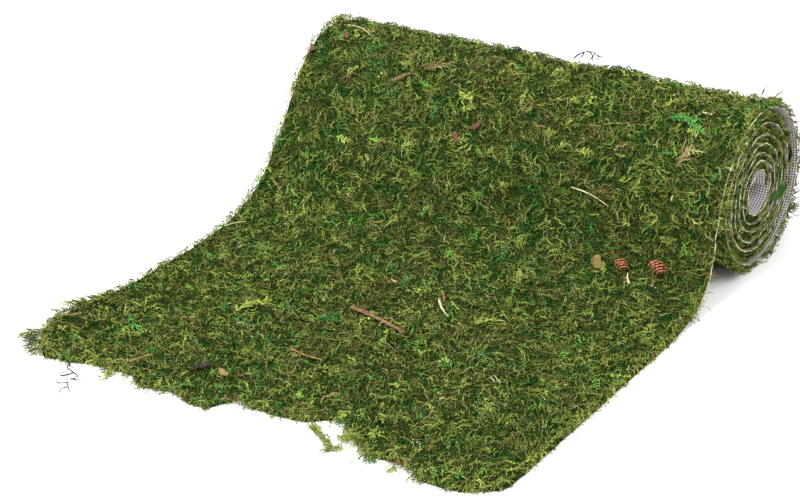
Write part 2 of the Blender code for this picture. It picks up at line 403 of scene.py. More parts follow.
    def lump(self, x: np.ndarray, run: np.ndarray) -> np.ndarray:
        """How far the moss swells above or sinks below its mean, less so near the mat's edges.

        Args:
            x: places across the mat.
            run: places along it.

        Returns:
            A height for each place.
        """
        broad, small = (share * soft_noise(x, run, size, seed)
                        for share, size, seed in zip(self.lump_shares, self.lump_sizes, (3, 4)))
        swell = self.lump_height * (broad + small)
        swell = swell + self.dome_height * (ease(self.tufts.find(x, run)[1] / 0.55) - 0.6)
        rim = np.minimum(self.width / 2 - np.abs(x), run - self.front_run(x))
        shown = 1 - ease((run - self.shown_run + 0.02) / 0.02)
        return swell * (0.25 + 0.75 * ease(rim / self.rim_width)) * shown

    def rest(self, x: np.ndarray, run: np.ndarray) -> np.ndarray:
        """How high a stiff thing rests along a line: a smooth curve over the lumps under it."""
        lumps, t = self.lump(x, run), np.linspace(-1, 1, len(x))
        return np.polyval(np.polyfit(t, lumps, 2), t) + 0.6 * lumps.std()

    def rest_at(self, place: tuple[float, float], reach: float = 0.004) -> float:
        """How high a small thing rests at one (x, run) place, on the moss that is within its reach."""
        along = place[1] + np.linspace(-reach, reach, 3)
        return float(self.rest(np.full(3, place[0]), along)[1])

    def wrap_on_moss(self, points: np.ndarray) -> np.ndarray:
        """Lay sheet-space points onto the mat, and let them follow the lumps of its moss."""
        lifted, height = points.copy(), points[:, 2]
        lowest = np.minimum(height, self.least_height)
        lifted[:, 2] = np.maximum(height + self.lump(points[:, 0], points[:, 1]), lowest)
        return self.wrap(lifted)

    def wrap(self, points: np.ndarray) -> np.ndarray:
        """Lay sheet-space points onto the mat.

        Args:
            points: an array of (x, run, height) rows.

        Returns:
            The same points as (x, y, z), kept above the floor.
        """
        x, run, height = points[:, 0], points[:, 1], points[:, 2]
        x = x - self.bulge * np.exp(-(((run - self.bulge_run) / 0.03) ** 2)) * ease((-x - 0.12) / 0.06)
        rows = np.interp(run, self.runs, np.arange(len(self.runs)))
        j = np.clip(np.floor(rows).astype(int), 0, len(self.runs) - 2)
        fj = (rows - j)[:, None]
        place = (x / self.width + 0.5) * (self.columns - 1)
        i = np.clip(np.floor(place).astype(int), 0, self.columns - 2)
        fi = np.clip(place - i, -0.5, 1.5)[:, None]

        def blend(table: np.ndarray) -> np.ndarray:
            """Read a table between its rows and columns."""
            near = table[i, j] * (1 - fj) + table[i, j + 1] * fj
            far = table[i + 1, j] * (1 - fj) + table[i + 1, j + 1] * fj
            return near * (1 - fi) + far * fi

        turn = (rows - self.drop_rows - self.arc_rows) / self.turn_rows
        height = height + self.wobble * ease(turn / 0.2) * soft_noise(run, x / 4, self.wobble_size, 61)
        angle = 2 * math.pi * turn
        dent = 0.5 + 0.5 * soft_noise(np.cos(angle), np.sin(angle), 0.75, 62)
        height = height - self.squeeze * dent * ease((turn - 1.3) / 0.5)
        spot, along = blend(self.lines), unit(blend(self.alongs))
        flat = np.minimum(run, 0.0)
        y = spot[:, 0] + flat - along[:, 1] * height
        z = spot[:, 1] + along[:, 0] * height
        return np.stack([x, y, np.maximum(z, FLOOR_CLEARANCE)], 1)


@dataclass
class MeshPile:
    """Faces gathered from many small things, to be joined in one mesh."""

    points: list = field(default_factory=list)
    faces: list = field(default_factory=list)
    maps: list = field(default_factory=list)
    count: int = 0

    def add(self, points: np.ndarray, layers: list[tuple[np.ndarray, np.ndarray]]) -> None:
        """Add points and the faces between them.

        Args:
            points: (n, 3) places.
            layers: pairs of faces, as (m, corners) numbers of these points, and their places on the
                surface map, either (n, 2) for the points or (m, corners, 2) for the faces.
        """
        self.points.append(points)
        for faces, places in layers:
            self.faces.append(faces + self.count)
            self.maps.append(places[faces] if places.ndim == 2 else places)
        self.count += len(points)

    def build(self, name: str, material: bpy.types.Material, smooth: bool) -> bpy.types.Object:
        """Make the joined mesh.

        Args:
            name: the piece's name.
            material: its only material.
            smooth: whether its faces are shaded smooth.

        Returns:
            The new object, linked to the scene.
        """
        mesh = bpy.data.meshes.new(name)
        points = np.concatenate(self.points).astype(np.float32)
        corners = np.concatenate([f.reshape(-1) for f in self.faces]).astype(np.int32)
        sizes = np.concatenate([np.full(len(f), f.shape[1]) for f in self.faces]).astype(np.int32)
        mesh.vertices.add(len(points))
        mesh.vertices.foreach_set("co", points.reshape(-1))
        mesh.loops.add(len(corners))
        mesh.loops.foreach_set("vertex_index", corners)
        mesh.polygons.add(len(sizes))
        mesh.polygons.foreach_set("loop_start", (np.cumsum(sizes) - sizes).astype(np.int32))
        mesh.polygons.foreach_set("loop_total", sizes)
        mesh.update(calc_edges=True)
        layer = mesh.uv_layers.new(name=SURFACE_MAP)
        places = np.concatenate([m.reshape(-1, 2) for m in self.maps]).astype(np.float32)
        layer.data.foreach_set("uv", places.reshape(-1))
        if smooth:
            mesh.shade_smooth()
        mesh.materials.append(material)
        piece = bpy.data.objects.new(name, mesh)
        bpy.context.scene.collection.objects.link(piece)
        return piece


def report(piece: bpy.types.Object) -> None:
    """Log a piece's name and size."""
    faces = sum(len(p.vertices) - 2 for p in piece.data.polygons)
    LOG.info("%s: %d triangles", piece.name, faces)


# Finishes


@dataclass(frozen=True)
class MossShootFinish:
    """Preserved feather moss, dyed and dried: leafy, matt, never twice the same green.

    The first map coordinate picks a shoot's hue. The second is its lightness, which mixes each hue's
    own colour with a darkened copy of it, painted shade, and rises from its foot to its tip: painted
    shade darkens the depths of the moss, and the tips are painted lighter, as if lit from above.
    """

    name: str = "Preserved moss shoots, dyed and dried"
    # Each hue's own colour, which the tips of the shoots get.
    light: tuple = (
        (0.00, "66542e"), (0.09, "90794a"), (0.18, "b6a674"), (0.27, "888648"), (0.38, "8e9648"),
        (0.50, "8c9e4a"), (0.62, "9cae4e"), (0.70, "a6b060"), (0.79, "bcbc84"), (0.84, "3f7c3e"),
        (0.92, "559444"), (1.00, "86b44a"),
    )
    # The same hues darkened: painted shade for the feet of the shoots and the depths of the moss.
    painted_shade: tuple = (
        (0.00, "1c1508"), (0.09, "2e220c"), (0.18, "524620"), (0.27, "232508"), (0.38, "202808"),
        (0.50, "1a2a08"), (0.62, "2a380a"), (0.70, "3c481a"), (0.79, "5c5e36"), (0.84, "0a260c"),
        (0.92, "12340c"), (1.00, "24440e"),
    )
    roughness: float = 0.85
    fleck: float = 0.7
    fleck_stretch: tuple = (120.0, 16.0, 1.0)
    leaf_rows: tuple = (20.0, 40.0, 1.0)
    leaf_depth_mm: float = 0.2

    def make(self) -> bpy.types.Material:
        """The material."""
        material, tree, shader = start_material(self.name, self.roughness)
        place = add_node(tree, "ShaderNodeUVMap", {"uv_map": SURFACE_MAP}).outputs["UV"]
        hue, level, _ = add_node(tree, "ShaderNodeSeparateXYZ", links={0: place}).outputs
        light = add_node(tree, "ShaderNodeValToRGB", {"stops": self.light}, {"Fac": hue})
        painted_shade = add_node(tree, "ShaderNodeValToRGB", {"stops": self.painted_shade}, {"Fac": hue})
        stretch = add_node(tree, "ShaderNodeMapping", {"Scale": self.fleck_stretch}, {"Vector": place})
        fleck = add_node(tree, "ShaderNodeTexNoise", {"Scale": 1.0, "Detail": 2.0},
                         {"Vector": stretch.outputs["Vector"]})
        centred = {"operation": "MULTIPLY_ADD", 1: self.fleck, 2: -self.fleck / 2}
        shift = add_node(tree, "ShaderNodeMath", centred, {0: fleck.outputs["Fac"]})
        share = add_node(tree, "ShaderNodeMath", {"operation": "ADD", "use_clamp": True},
                         {0: level, 1: shift.outputs[0]})
        # Lightness mixes each hue from its painted-shade copy up to its own colour: painted shade low down,
        # lighter tips.
        colour = add_node(tree, "ShaderNodeMix", {"data_type": "RGBA"},
                          {0: share.outputs[0], 6: painted_shade.outputs["Color"], 7: light.outputs["Color"]})
        rows = add_node(tree, "ShaderNodeMapping", {"Scale": self.leaf_rows}, {"Vector": place})
        leaf = add_node(tree, "ShaderNodeTexWave", {"Scale": 1.0, "Distortion": 1.5, "bands_direction": "Y"},
                        {"Vector": rows.outputs["Vector"]})
        bump = add_node(tree, "ShaderNodeBump", {"Strength": 0.3, "Distance": self.leaf_depth_mm * MM},
                        {"Height": leaf.outputs["Fac"]})
        feed(tree, shader, {"Base Color": colour.outputs[2], "Normal": bump.outputs["Normal"]})
        shader.inputs["Specular IOR Level"].default_value = 0.08
        return material


@dataclass(frozen=True)
class MossGroundFinish:
    """Matted moss, pressed and dried: a felt of old stems between the shoots, kept dark as painted shade.

    Contour lines of a soft noise make curled strands, lighter than the near-black between them, and a
    slower noise turns patches of them green, olive or brown. The near-black between the strands is
    painted shade, the shade in the gaps between the shoots.
    """

    name: str = "Matted moss, pressed"
    patch_mm: float = 9.0
    strand_mm: float = 4.5
    depth_mm: float = 0.6
    strands: tuple = (
        (0.32, "cccccc"), (0.38, "000000"), (0.44, "ffffff"), (0.50, "000000"), (0.56, "ffffff"),
        (0.62, "000000"), (0.68, "cccccc"),
    )
    light: tuple = ((0.38, "1f461e"), (0.46, "3a5222"), (0.54, "384c20"), (0.64, "3f4820"))
    # Near-black between the strands: painted shade of the gaps between the shoots.
    painted_shade: tuple = ((0.40, "030803"), (0.50, "060d03"), (0.62, "080a03"))

    def make(self) -> bpy.types.Material:
        """The material."""
        material, tree, shader = start_material(self.name, 0.95)
        place = add_node(tree, "ShaderNodeTexCoord").outputs["Object"]
        patch, strand = (add_node(tree, "ShaderNodeTexNoise", {"Scale": 1 / (size * MM), "Detail": detail},
                                  {"Vector": place}).outputs["Fac"]
                         for size, detail in ((self.patch_mm, 3.0), (self.strand_mm, 2.5)))
        curls = add_node(tree, "ShaderNodeValToRGB", {"stops": self.strands}, {"Fac": strand})
        lines = curls.outputs["Color"]
        light = add_node(tree, "ShaderNodeValToRGB", {"stops": self.light}, {"Fac": patch})
        painted_shade = add_node(tree, "ShaderNodeValToRGB", {"stops": self.painted_shade}, {"Fac": patch})
        colour = add_node(tree, "ShaderNodeMix", {"data_type": "RGBA"},
                          {0: lines, 6: painted_shade.outputs["Color"], 7: light.outputs["Color"]})
        bump = add_node(tree, "ShaderNodeBump", {"Strength": 1.0, "Distance": self.depth_mm * MM},
                        {"Height": lines})
        feed(tree, shader, {"Base Color": colour.outputs[2], "Normal": bump.outputs["Normal"]})
        shader.inputs["Specular IOR Level"].default_value = 0.0
        return material


@dataclass(frozen=True)
class ScrimFinish:
    """Cotton scrim, woven open and undyed: grey threads that cross over openings.

    The map repeats every ten threads, so the threads keep their real spacing. The openings are
    painted dark as the shade seen through them, and the threads' sides a darker grey as painted shade.
    """

    name: str = "Cotton scrim, plain woven"
    threads: int = 10
    depth_mm: float = 0.4
    # Openings painted dark as shade, the threads' sides a painted-shade grey, their crowns their own pale
    # grey.
    stops: tuple = ((0.68, "2c2a20"), (0.80, "7a7378"), (0.95, "cdc6c8"))

    def make(self) -> bpy.types.Material:
        """The material."""
        material, tree, shader = start_material(self.name, 0.9)
        place = add_node(tree, "ShaderNodeUVMap", {"uv_map": SURFACE_MAP})
        split = add_node(tree, "ShaderNodeSeparateXYZ", links={0: place.outputs["UV"]})
        ridges = []
        for axis in ("X", "Y"):
            turns = add_node(tree, "ShaderNodeMath", {"operation": "MULTIPLY", 1: math.pi * self.threads},
                             {0: split.outputs[axis]})
            wave = add_node(tree, "ShaderNodeMath", {"operation": "SINE"}, {0: turns.outputs[0]})
            ridges.append(add_node(tree, "ShaderNodeMath", {"operation": "ABSOLUTE"}, {0: wave.outputs[0]}))
        top = add_node(tree, "ShaderNodeMath", {"operation": "MAXIMUM"},
                       {0: ridges[0].outputs[0], 1: ridges[1].outputs[0]})
        weave = add_node(tree, "ShaderNodeValToRGB", {"stops": self.stops}, {"Fac": top.outputs[0]})
        bump = add_node(tree, "ShaderNodeBump", {"Strength": 0.8, "Distance": self.depth_mm * MM},
                        {"Height": top.outputs[0]})
        feed(tree, shader, {"Base Color": weave.outputs["Color"], "Normal": bump.outputs["Normal"]})
        shader.inputs["Sheen Weight"].default_value = 0.15
        return material


@dataclass(frozen=True)
class SelvedgeFinish:
    """Cotton edge cord, cut and frayed: stained olive on the open mat, and pale cream in the roll.

    The second map coordinate runs along the cord from the mat's front edge.
    """

    name: str = "Cotton selvedge, cut and stained"
    stain_mm: float = 6.0
    twist_mm: float = 0.8
    depth_mm: float = 0.3
    rolled: tuple = ((0.10, "000000"), (0.15, "ffffff"))
    cream: tuple = ((0.38, "4c5228"), (0.47, "9c966c"), (0.60, "d8d2b2"))
    olive: tuple = ((0.38, "3c4420"), (0.5, "6a6838"), (0.62, "96905c"))

    def make(self) -> bpy.types.Material:
        """The material."""
        material, tree, shader = start_material(self.name, 0.9)
        place = add_node(tree, "ShaderNodeTexCoord").outputs["Object"]
        stain, twist = (add_node(tree, "ShaderNodeTexNoise", {"Scale": 1 / (size * MM), "Detail": detail},
                                 {"Vector": place}).outputs["Fac"]
                        for size, detail in ((self.stain_mm, 3.0), (self.twist_mm, 2.0)))
        cream = add_node(tree, "ShaderNodeValToRGB", {"stops": self.cream}, {"Fac": stain})
        olive = add_node(tree, "ShaderNodeValToRGB", {"stops": self.olive}, {"Fac": stain})
        along = add_node(tree, "ShaderNodeUVMap", {"uv_map": SURFACE_MAP})
        split = add_node(tree, "ShaderNodeSeparateXYZ", links={0: along.outputs["UV"]})
        rolled = add_node(tree, "ShaderNodeValToRGB", {"stops": self.rolled}, {"Fac": split.outputs["Y"]})
        colour = add_node(tree, "ShaderNodeMix", {"data_type": "RGBA"},
                          {0: rolled.outputs["Color"], 6: olive.outputs["Color"], 7: cream.outputs["Color"]})
        bump = add_node(tree, "ShaderNodeBump", {"Strength": 0.6, "Distance": self.depth_mm * MM},
                        {"Height": twist})
        feed(tree, shader, {"Base Color": colour.outputs[2], "Normal": bump.outputs["Normal"]})
        return material


@dataclass(frozen=True)
class GrainFinish:
    """Dry plant matter with grain along it: twig, straw, bark, cone scale or dead leaf.

    A fine streak runs along each piece and a slower mottle breaks it up, which gives the eye
    split, sun-dried fibres. tip is how much paler a piece is at its end than at its foot.
    """

    name: str
    dark: str
    middle: str
    light: str
    roughness: float = 0.75
    mottle_mm: float = 2.5
    mottle_share: float = 0.4
    streaks: tuple = (14.0, 1.6, 1.0)
    depth_mm: float = 0.3
    tip: float = 0.0

    def make(self) -> bpy.types.Material:
        """The material."""
        material, tree, shader = start_material(self.name, self.roughness)
        place = add_node(tree, "ShaderNodeUVMap", {"uv_map": SURFACE_MAP}).outputs["UV"]
        solid = add_node(tree, "ShaderNodeTexCoord").outputs["Object"]
        stretch = add_node(tree, "ShaderNodeMapping", {"Scale": self.streaks}, {"Vector": place})
        streak = add_node(tree, "ShaderNodeTexNoise", {"Scale": 1.5, "Detail": 4.0, "Roughness": 0.6},
                          {"Vector": stretch.outputs["Vector"]})
        mottle = add_node(tree, "ShaderNodeTexNoise", {"Scale": 1 / (self.mottle_mm * MM), "Detail": 3.0},
                          {"Vector": solid})
        mixed = add_node(tree, "ShaderNodeMix", {"data_type": "FLOAT", 0: self.mottle_share},
                         {2: streak.outputs["Fac"], 3: mottle.outputs["Fac"]})
        split = add_node(tree, "ShaderNodeSeparateXYZ", links={0: place})
        paler = add_node(tree, "ShaderNodeMath", {"operation": "MULTIPLY_ADD", 1: self.tip, 2: -self.tip / 2},
                         {0: split.outputs["Y"]})
        level = add_node(tree, "ShaderNodeMath", {"operation": "ADD"},
                         {0: mixed.outputs[0], 1: paler.outputs[0]})
        stops = ((0.34, self.dark), (0.5, self.middle), (0.64, self.light))
        colour = add_node(tree, "ShaderNodeValToRGB", {"stops": stops}, {"Fac": level.outputs[0]})
        bump = add_node(tree, "ShaderNodeBump", {"Strength": 0.5, "Distance": self.depth_mm * MM},
                        {"Height": streak.outputs["Fac"]})
        feed(tree, shader, {"Base Color": colour.outputs["Color"], "Normal": bump.outputs["Normal"]})
        return material


@dataclass(frozen=True)
class FloorFinish:
    """Painted board, rolled matt: a plain pale ground."""

    name: str = "Painted board, matt white"
    colour: str = "f4f4f3"

    def make(self) -> bpy.types.Material:
        """The material."""
        material, _, shader = start_material(self.name, 0.9)
        shader.inputs["Base Color"].default_value = linear(self.colour)
        shader.inputs["Specular IOR Level"].default_value = 0.1
        return material


# Moss


@dataclass(frozen=True)
class Habit:
    """How one kind of shoot grows, and how much of it there is.

    Lengths and widths are the least and most in metres. A foot is its height above the backing,
    and climb is how steeply it sets off, in radians.
    """

    name: str
    growth: Growth
    count: int
    length: tuple[float, float]
    width: tuple[float, float]
    foot: tuple[float, float]
    climb: tuple[float, float]
    steps: int
    curl: float = 2.2
    droop: float = 1.1
    wiggle: float = 0.5
    margin: float = -0.0012
    sparkle: float = 0.20
    top: tuple[float, float] = (0.0040, 0.0056)
    pieces: int = 1
    hues: tuple = ()


@dataclass
class Shoots:
    """A batch of shoots in sheet space: where they start, how long they are and how they bend."""

    habit: Habit
    rng: np.random.Generator
    x: np.ndarray
    run: np.ndarray
    height: np.ndarray
    heading: np.ndarray
    tone: np.ndarray
    light: np.ndarray

    def spines(self) -> tuple[np.ndarray, np.ndarray, np.ndarray, np.ndarray]:
        """Grow the middle lines.

        Returns:
            Points (n, steps + 1, 3), and unit tangents, sides and backs at each of them.
        """
        count, habit, rng = len(self.x), self.habit, self.rng
        t = np.linspace(0, 1, habit.steps + 1)[None]
        curl = rng.normal(0, habit.curl, (count, 1)) * t + rng.normal(0, habit.curl * 0.8, (count, 1)) * t**3
        phase = rng.uniform(0, 2 * math.pi, (count, 1))
        waves = 2 * math.pi * rng.uniform(1.0, 2.4, (count, 1)) * t
        turn = self.heading[:, None] + curl + habit.wiggle * np.sin(waves + phase)
        drop = habit.droop * rng.uniform(0.6, 1.4, (count, 1))
        climb = rng.uniform(*habit.climb, (count, 1))
        rise = climb - 1.6 * drop * t + 0.6 * habit.wiggle * np.sin(0.9 * waves - phase)
        along = np.stack([np.cos(turn) * np.cos(rise), np.sin(turn) * np.cos(rise), np.sin(rise)], -1)
        step = (rng.uniform(*habit.length, count) / habit.steps)[:, None, None]
        start = np.stack([self.x, self.run, self.height], -1)[:, None]
        points = np.concatenate([start, start + np.cumsum(along[:, :-1] * step, axis=1)], axis=1)
        top = np.maximum(rng.uniform(*habit.top, (count, 1)), self.height[:, None])
        points[..., 2] = np.clip(points[..., 2], habit.foot[0] * 0.6, top)
        sides = np.stack([-np.sin(turn), np.cos(turn), np.zeros_like(turn)], -1)
        return points, along, sides, np.cross(along, sides)

    def grow_leafy(self) -> tuple[np.ndarray, list, np.ndarray, np.ndarray]:
        """Shoots with one pointed leaf on each side of every step, folded along the stem."""
        points, along, sides, backs = self.spines()
        count, steps, rng = len(self.x), self.habit.steps, self.rng
        t = np.linspace(0, 1, steps + 1)
        roll = rng.uniform(-0.9, 0.9, (count, 1)) + rng.normal(0, 1.0, (count, 1)) * t[None]
        side = (sides * np.cos(roll)[..., None] + backs * np.sin(roll)[..., None])[:, :-1]
        back = np.cross(along[:, :-1], side)
        outline = 1 - 0.5 * np.abs(2 * t[:-1] - 0.8)[None] ** 1.5
        reach = rng.uniform(*self.habit.width, (count, 1)) * outline
        blocks = [points]
        for hand in (-1, 1):
            size = (reach * rng.uniform(0.7, 1.3, (count, steps)))[..., None]
            angle = rng.normal(0.8, 0.2, (count, steps))[..., None]
            lift = rng.uniform(-0.2, 0.9, (count, steps))[..., None]
            way = along[:, :-1] * np.cos(angle) + hand * side * np.sin(angle) + back * lift
            blocks.append(points[:, :-1] + way * size)
        k = np.arange(steps)
        left = np.stack([k, k + 1, steps + 1 + k], 1)
        right = np.stack([k + 1, k, 2 * steps + 1 + k], 1)
        levels = np.concatenate([t * 0.7, t[:-1] * 0.7 + 0.3, t[:-1] * 0.7 + 0.3])
        spread = np.concatenate([np.zeros(steps + 1), np.full(steps, -0.008), np.full(steps, 0.008)])
        return np.concatenate(blocks, axis=1), [np.concatenate([left, right])], levels, spread

    def grow_cords(self) -> tuple[np.ndarray, list, np.ndarray, np.ndarray]:
        """Shoots whose leaves lie close, as round cords of three sides."""
        points, _, sides, backs = self.spines()
        count, steps, rng = len(self.x), self.habit.steps, self.rng
        t = np.linspace(0, 1, steps + 1)
        radius = rng.uniform(*self.habit.width, (count, 1)) / 2
        radius = radius * (1 - 0.75 * t**2) * rng.uniform(0.75, 1.25, (count, steps + 1))
        rings = []
        for corner in range(3):
            angle = 2 * math.pi * corner / 3 + rng.uniform(0, 0.9, (count, 1))
            push = sides * np.cos(angle)[..., None] + backs * np.sin(angle)[..., None]
            rings.append(points + push * radius[..., None])
        k, row = np.arange(steps), steps + 1
        quads = [np.stack([a * row + k, a * row + k + 1, (a + 1) % 3 * row + k + 1, (a + 1) % 3 * row + k], 1)
                 for a in range(3)]
        spread = np.repeat([-0.004, 0.0, 0.004], row)
        return np.concatenate(rings, axis=1), [np.concatenate(quads)], np.tile(t, 3), spread

    def grow_threads(self) -> tuple[np.ndarray, list, np.ndarray, np.ndarray]:
        """Bare stems and fibres, as narrow turned ribbons."""
        points, _, sides, backs = self.spines()
        count, steps, rng = len(self.x), self.habit.steps, self.rng
        t = np.linspace(0, 1, steps + 1)
        roll = rng.uniform(0.2, 1.4, (count, 1))[..., None]
        side = sides * np.cos(roll) + backs * np.sin(roll)
        half = (rng.uniform(*self.habit.width, (count, 1)) / 2 * (1 - 0.5 * t)[None])[..., None]
        k, row = np.arange(steps), steps + 1
        quads = np.stack([k, k + 1, row + k + 1, row + k], 1)
        block = np.concatenate([points + side * half, points - side * half], axis=1)
        return block, [quads], np.tile(t, 2), np.repeat([-0.003, 0.003], row)

    def grow_ferns(self) -> tuple[np.ndarray, list, np.ndarray, np.ndarray]:
        """Large sprigs: a stem with paired side branches, each a narrow blade."""
        points, along, sides, backs = self.spines()
        count, steps, rng = len(self.x), self.habit.steps, self.rng
        t = np.linspace(0, 1, steps + 1)
        half = (FERN_STEM_RADIUS * (1 - 0.6 * t))[None, :, None]
        k, row = np.arange(steps), steps + 1
        blocks = [points + sides * half, points - sides * half]
        quads = [np.stack([k, k + 1, row + k + 1, row + k], 1)]
        levels, spread = [t * 0.6, t * 0.6], [np.full(row, -0.003), np.full(row, 0.003)]
        begin = 2 * row
        outline = 1 - 0.85 * np.abs(2 * t[:-1] - 0.7)[None] ** 1.6
        reach = rng.uniform(*self.habit.width, (count, 1)) * outline
        for hand in (-1, 1):
            angle = rng.normal(0.9, 0.15, (count, steps))[..., None]
            lift = rng.uniform(-0.2, 0.5, (count, steps))[..., None]
            way = along[:, :-1] * np.cos(angle) + hand * sides[:, :-1] * np.sin(angle) + backs[:, :-1] * lift
            size = (reach * rng.uniform(0.8, 1.2, reach.shape))[..., None]
            base, broad = points[:, :-1], 0.16 * size * np.cross(way, backs[:, :-1])
            middle = base + way * size * 0.45
            blocks += [base, middle + broad, base + way * size, middle - broad]
            quads.append(begin + np.stack([k, steps + k, 2 * steps + k, 3 * steps + k], 1))
            begin += 4 * steps
            levels += [t[:-1] * 0.6 + rise for rise in (0.05, 0.2, 0.4, 0.2)]
            spread += [np.full(steps, hand * shift) for shift in (0.001, 0.004, 0.008, 0.012)]
        return np.concatenate(blocks, axis=1), quads, np.concatenate(levels), np.concatenate(spread)

    def pour(self, pile: MeshPile, shape: MatShape, lumpy: bool) -> None:
        """Add the shoots to a pile.

        Args:
            pile: takes their faces.
            shape: wraps them onto the mat.
            lumpy: whether they follow the lumps of the moss.
        """
        grow = {Growth.LEAFY: self.grow_leafy, Growth.CORD: self.grow_cords,
                Growth.THREAD: self.grow_threads, Growth.FERN: self.grow_ferns}[self.habit.growth]
        block, kinds, levels, spread = grow()
        count, size = block.shape[:2]
        tone = self.tone[:, None] + spread[None]
        # Darker at each shoot's foot and stem, lighter at its leaves and tip: painted shade and painted
        # light.
        light = self.light[:, None] + 0.45 * (levels[None] - 0.5)
        # Sparkle: random lightness from point to point, which paints some leaves lit and others shaded.
        light = light + self.rng.normal(0, self.habit.sparkle, (count, size))
        places = np.clip(np.stack([tone, light], -1), 0.001, 0.999).reshape(-1, 2)
        flat = block.reshape(-1, 3)
        starts = (np.arange(count) * size)[:, None, None]
        layers = [((faces[None] + starts).reshape(-1, faces.shape[1]), places) for faces in kinds]
        pile.add(shape.wrap_on_moss(flat) if lumpy else shape.wrap(flat), layers)

    def build(self, shape: MatShape, material: bpy.types.Material, name: str,
              lumpy: bool) -> bpy.types.Object:
        """Make a piece of these shoots alone.

        Args:
            shape: wraps the shoots onto the mat.
            material: their finish.
            name: the piece's name.
            lumpy: whether they follow the lumps of the moss.

        Returns:
            The piece.
        """
        pile = MeshPile()
        self.pour(pile, shape, lumpy)
        return pile.build(name, material, self.habit.growth is Growth.CORD)


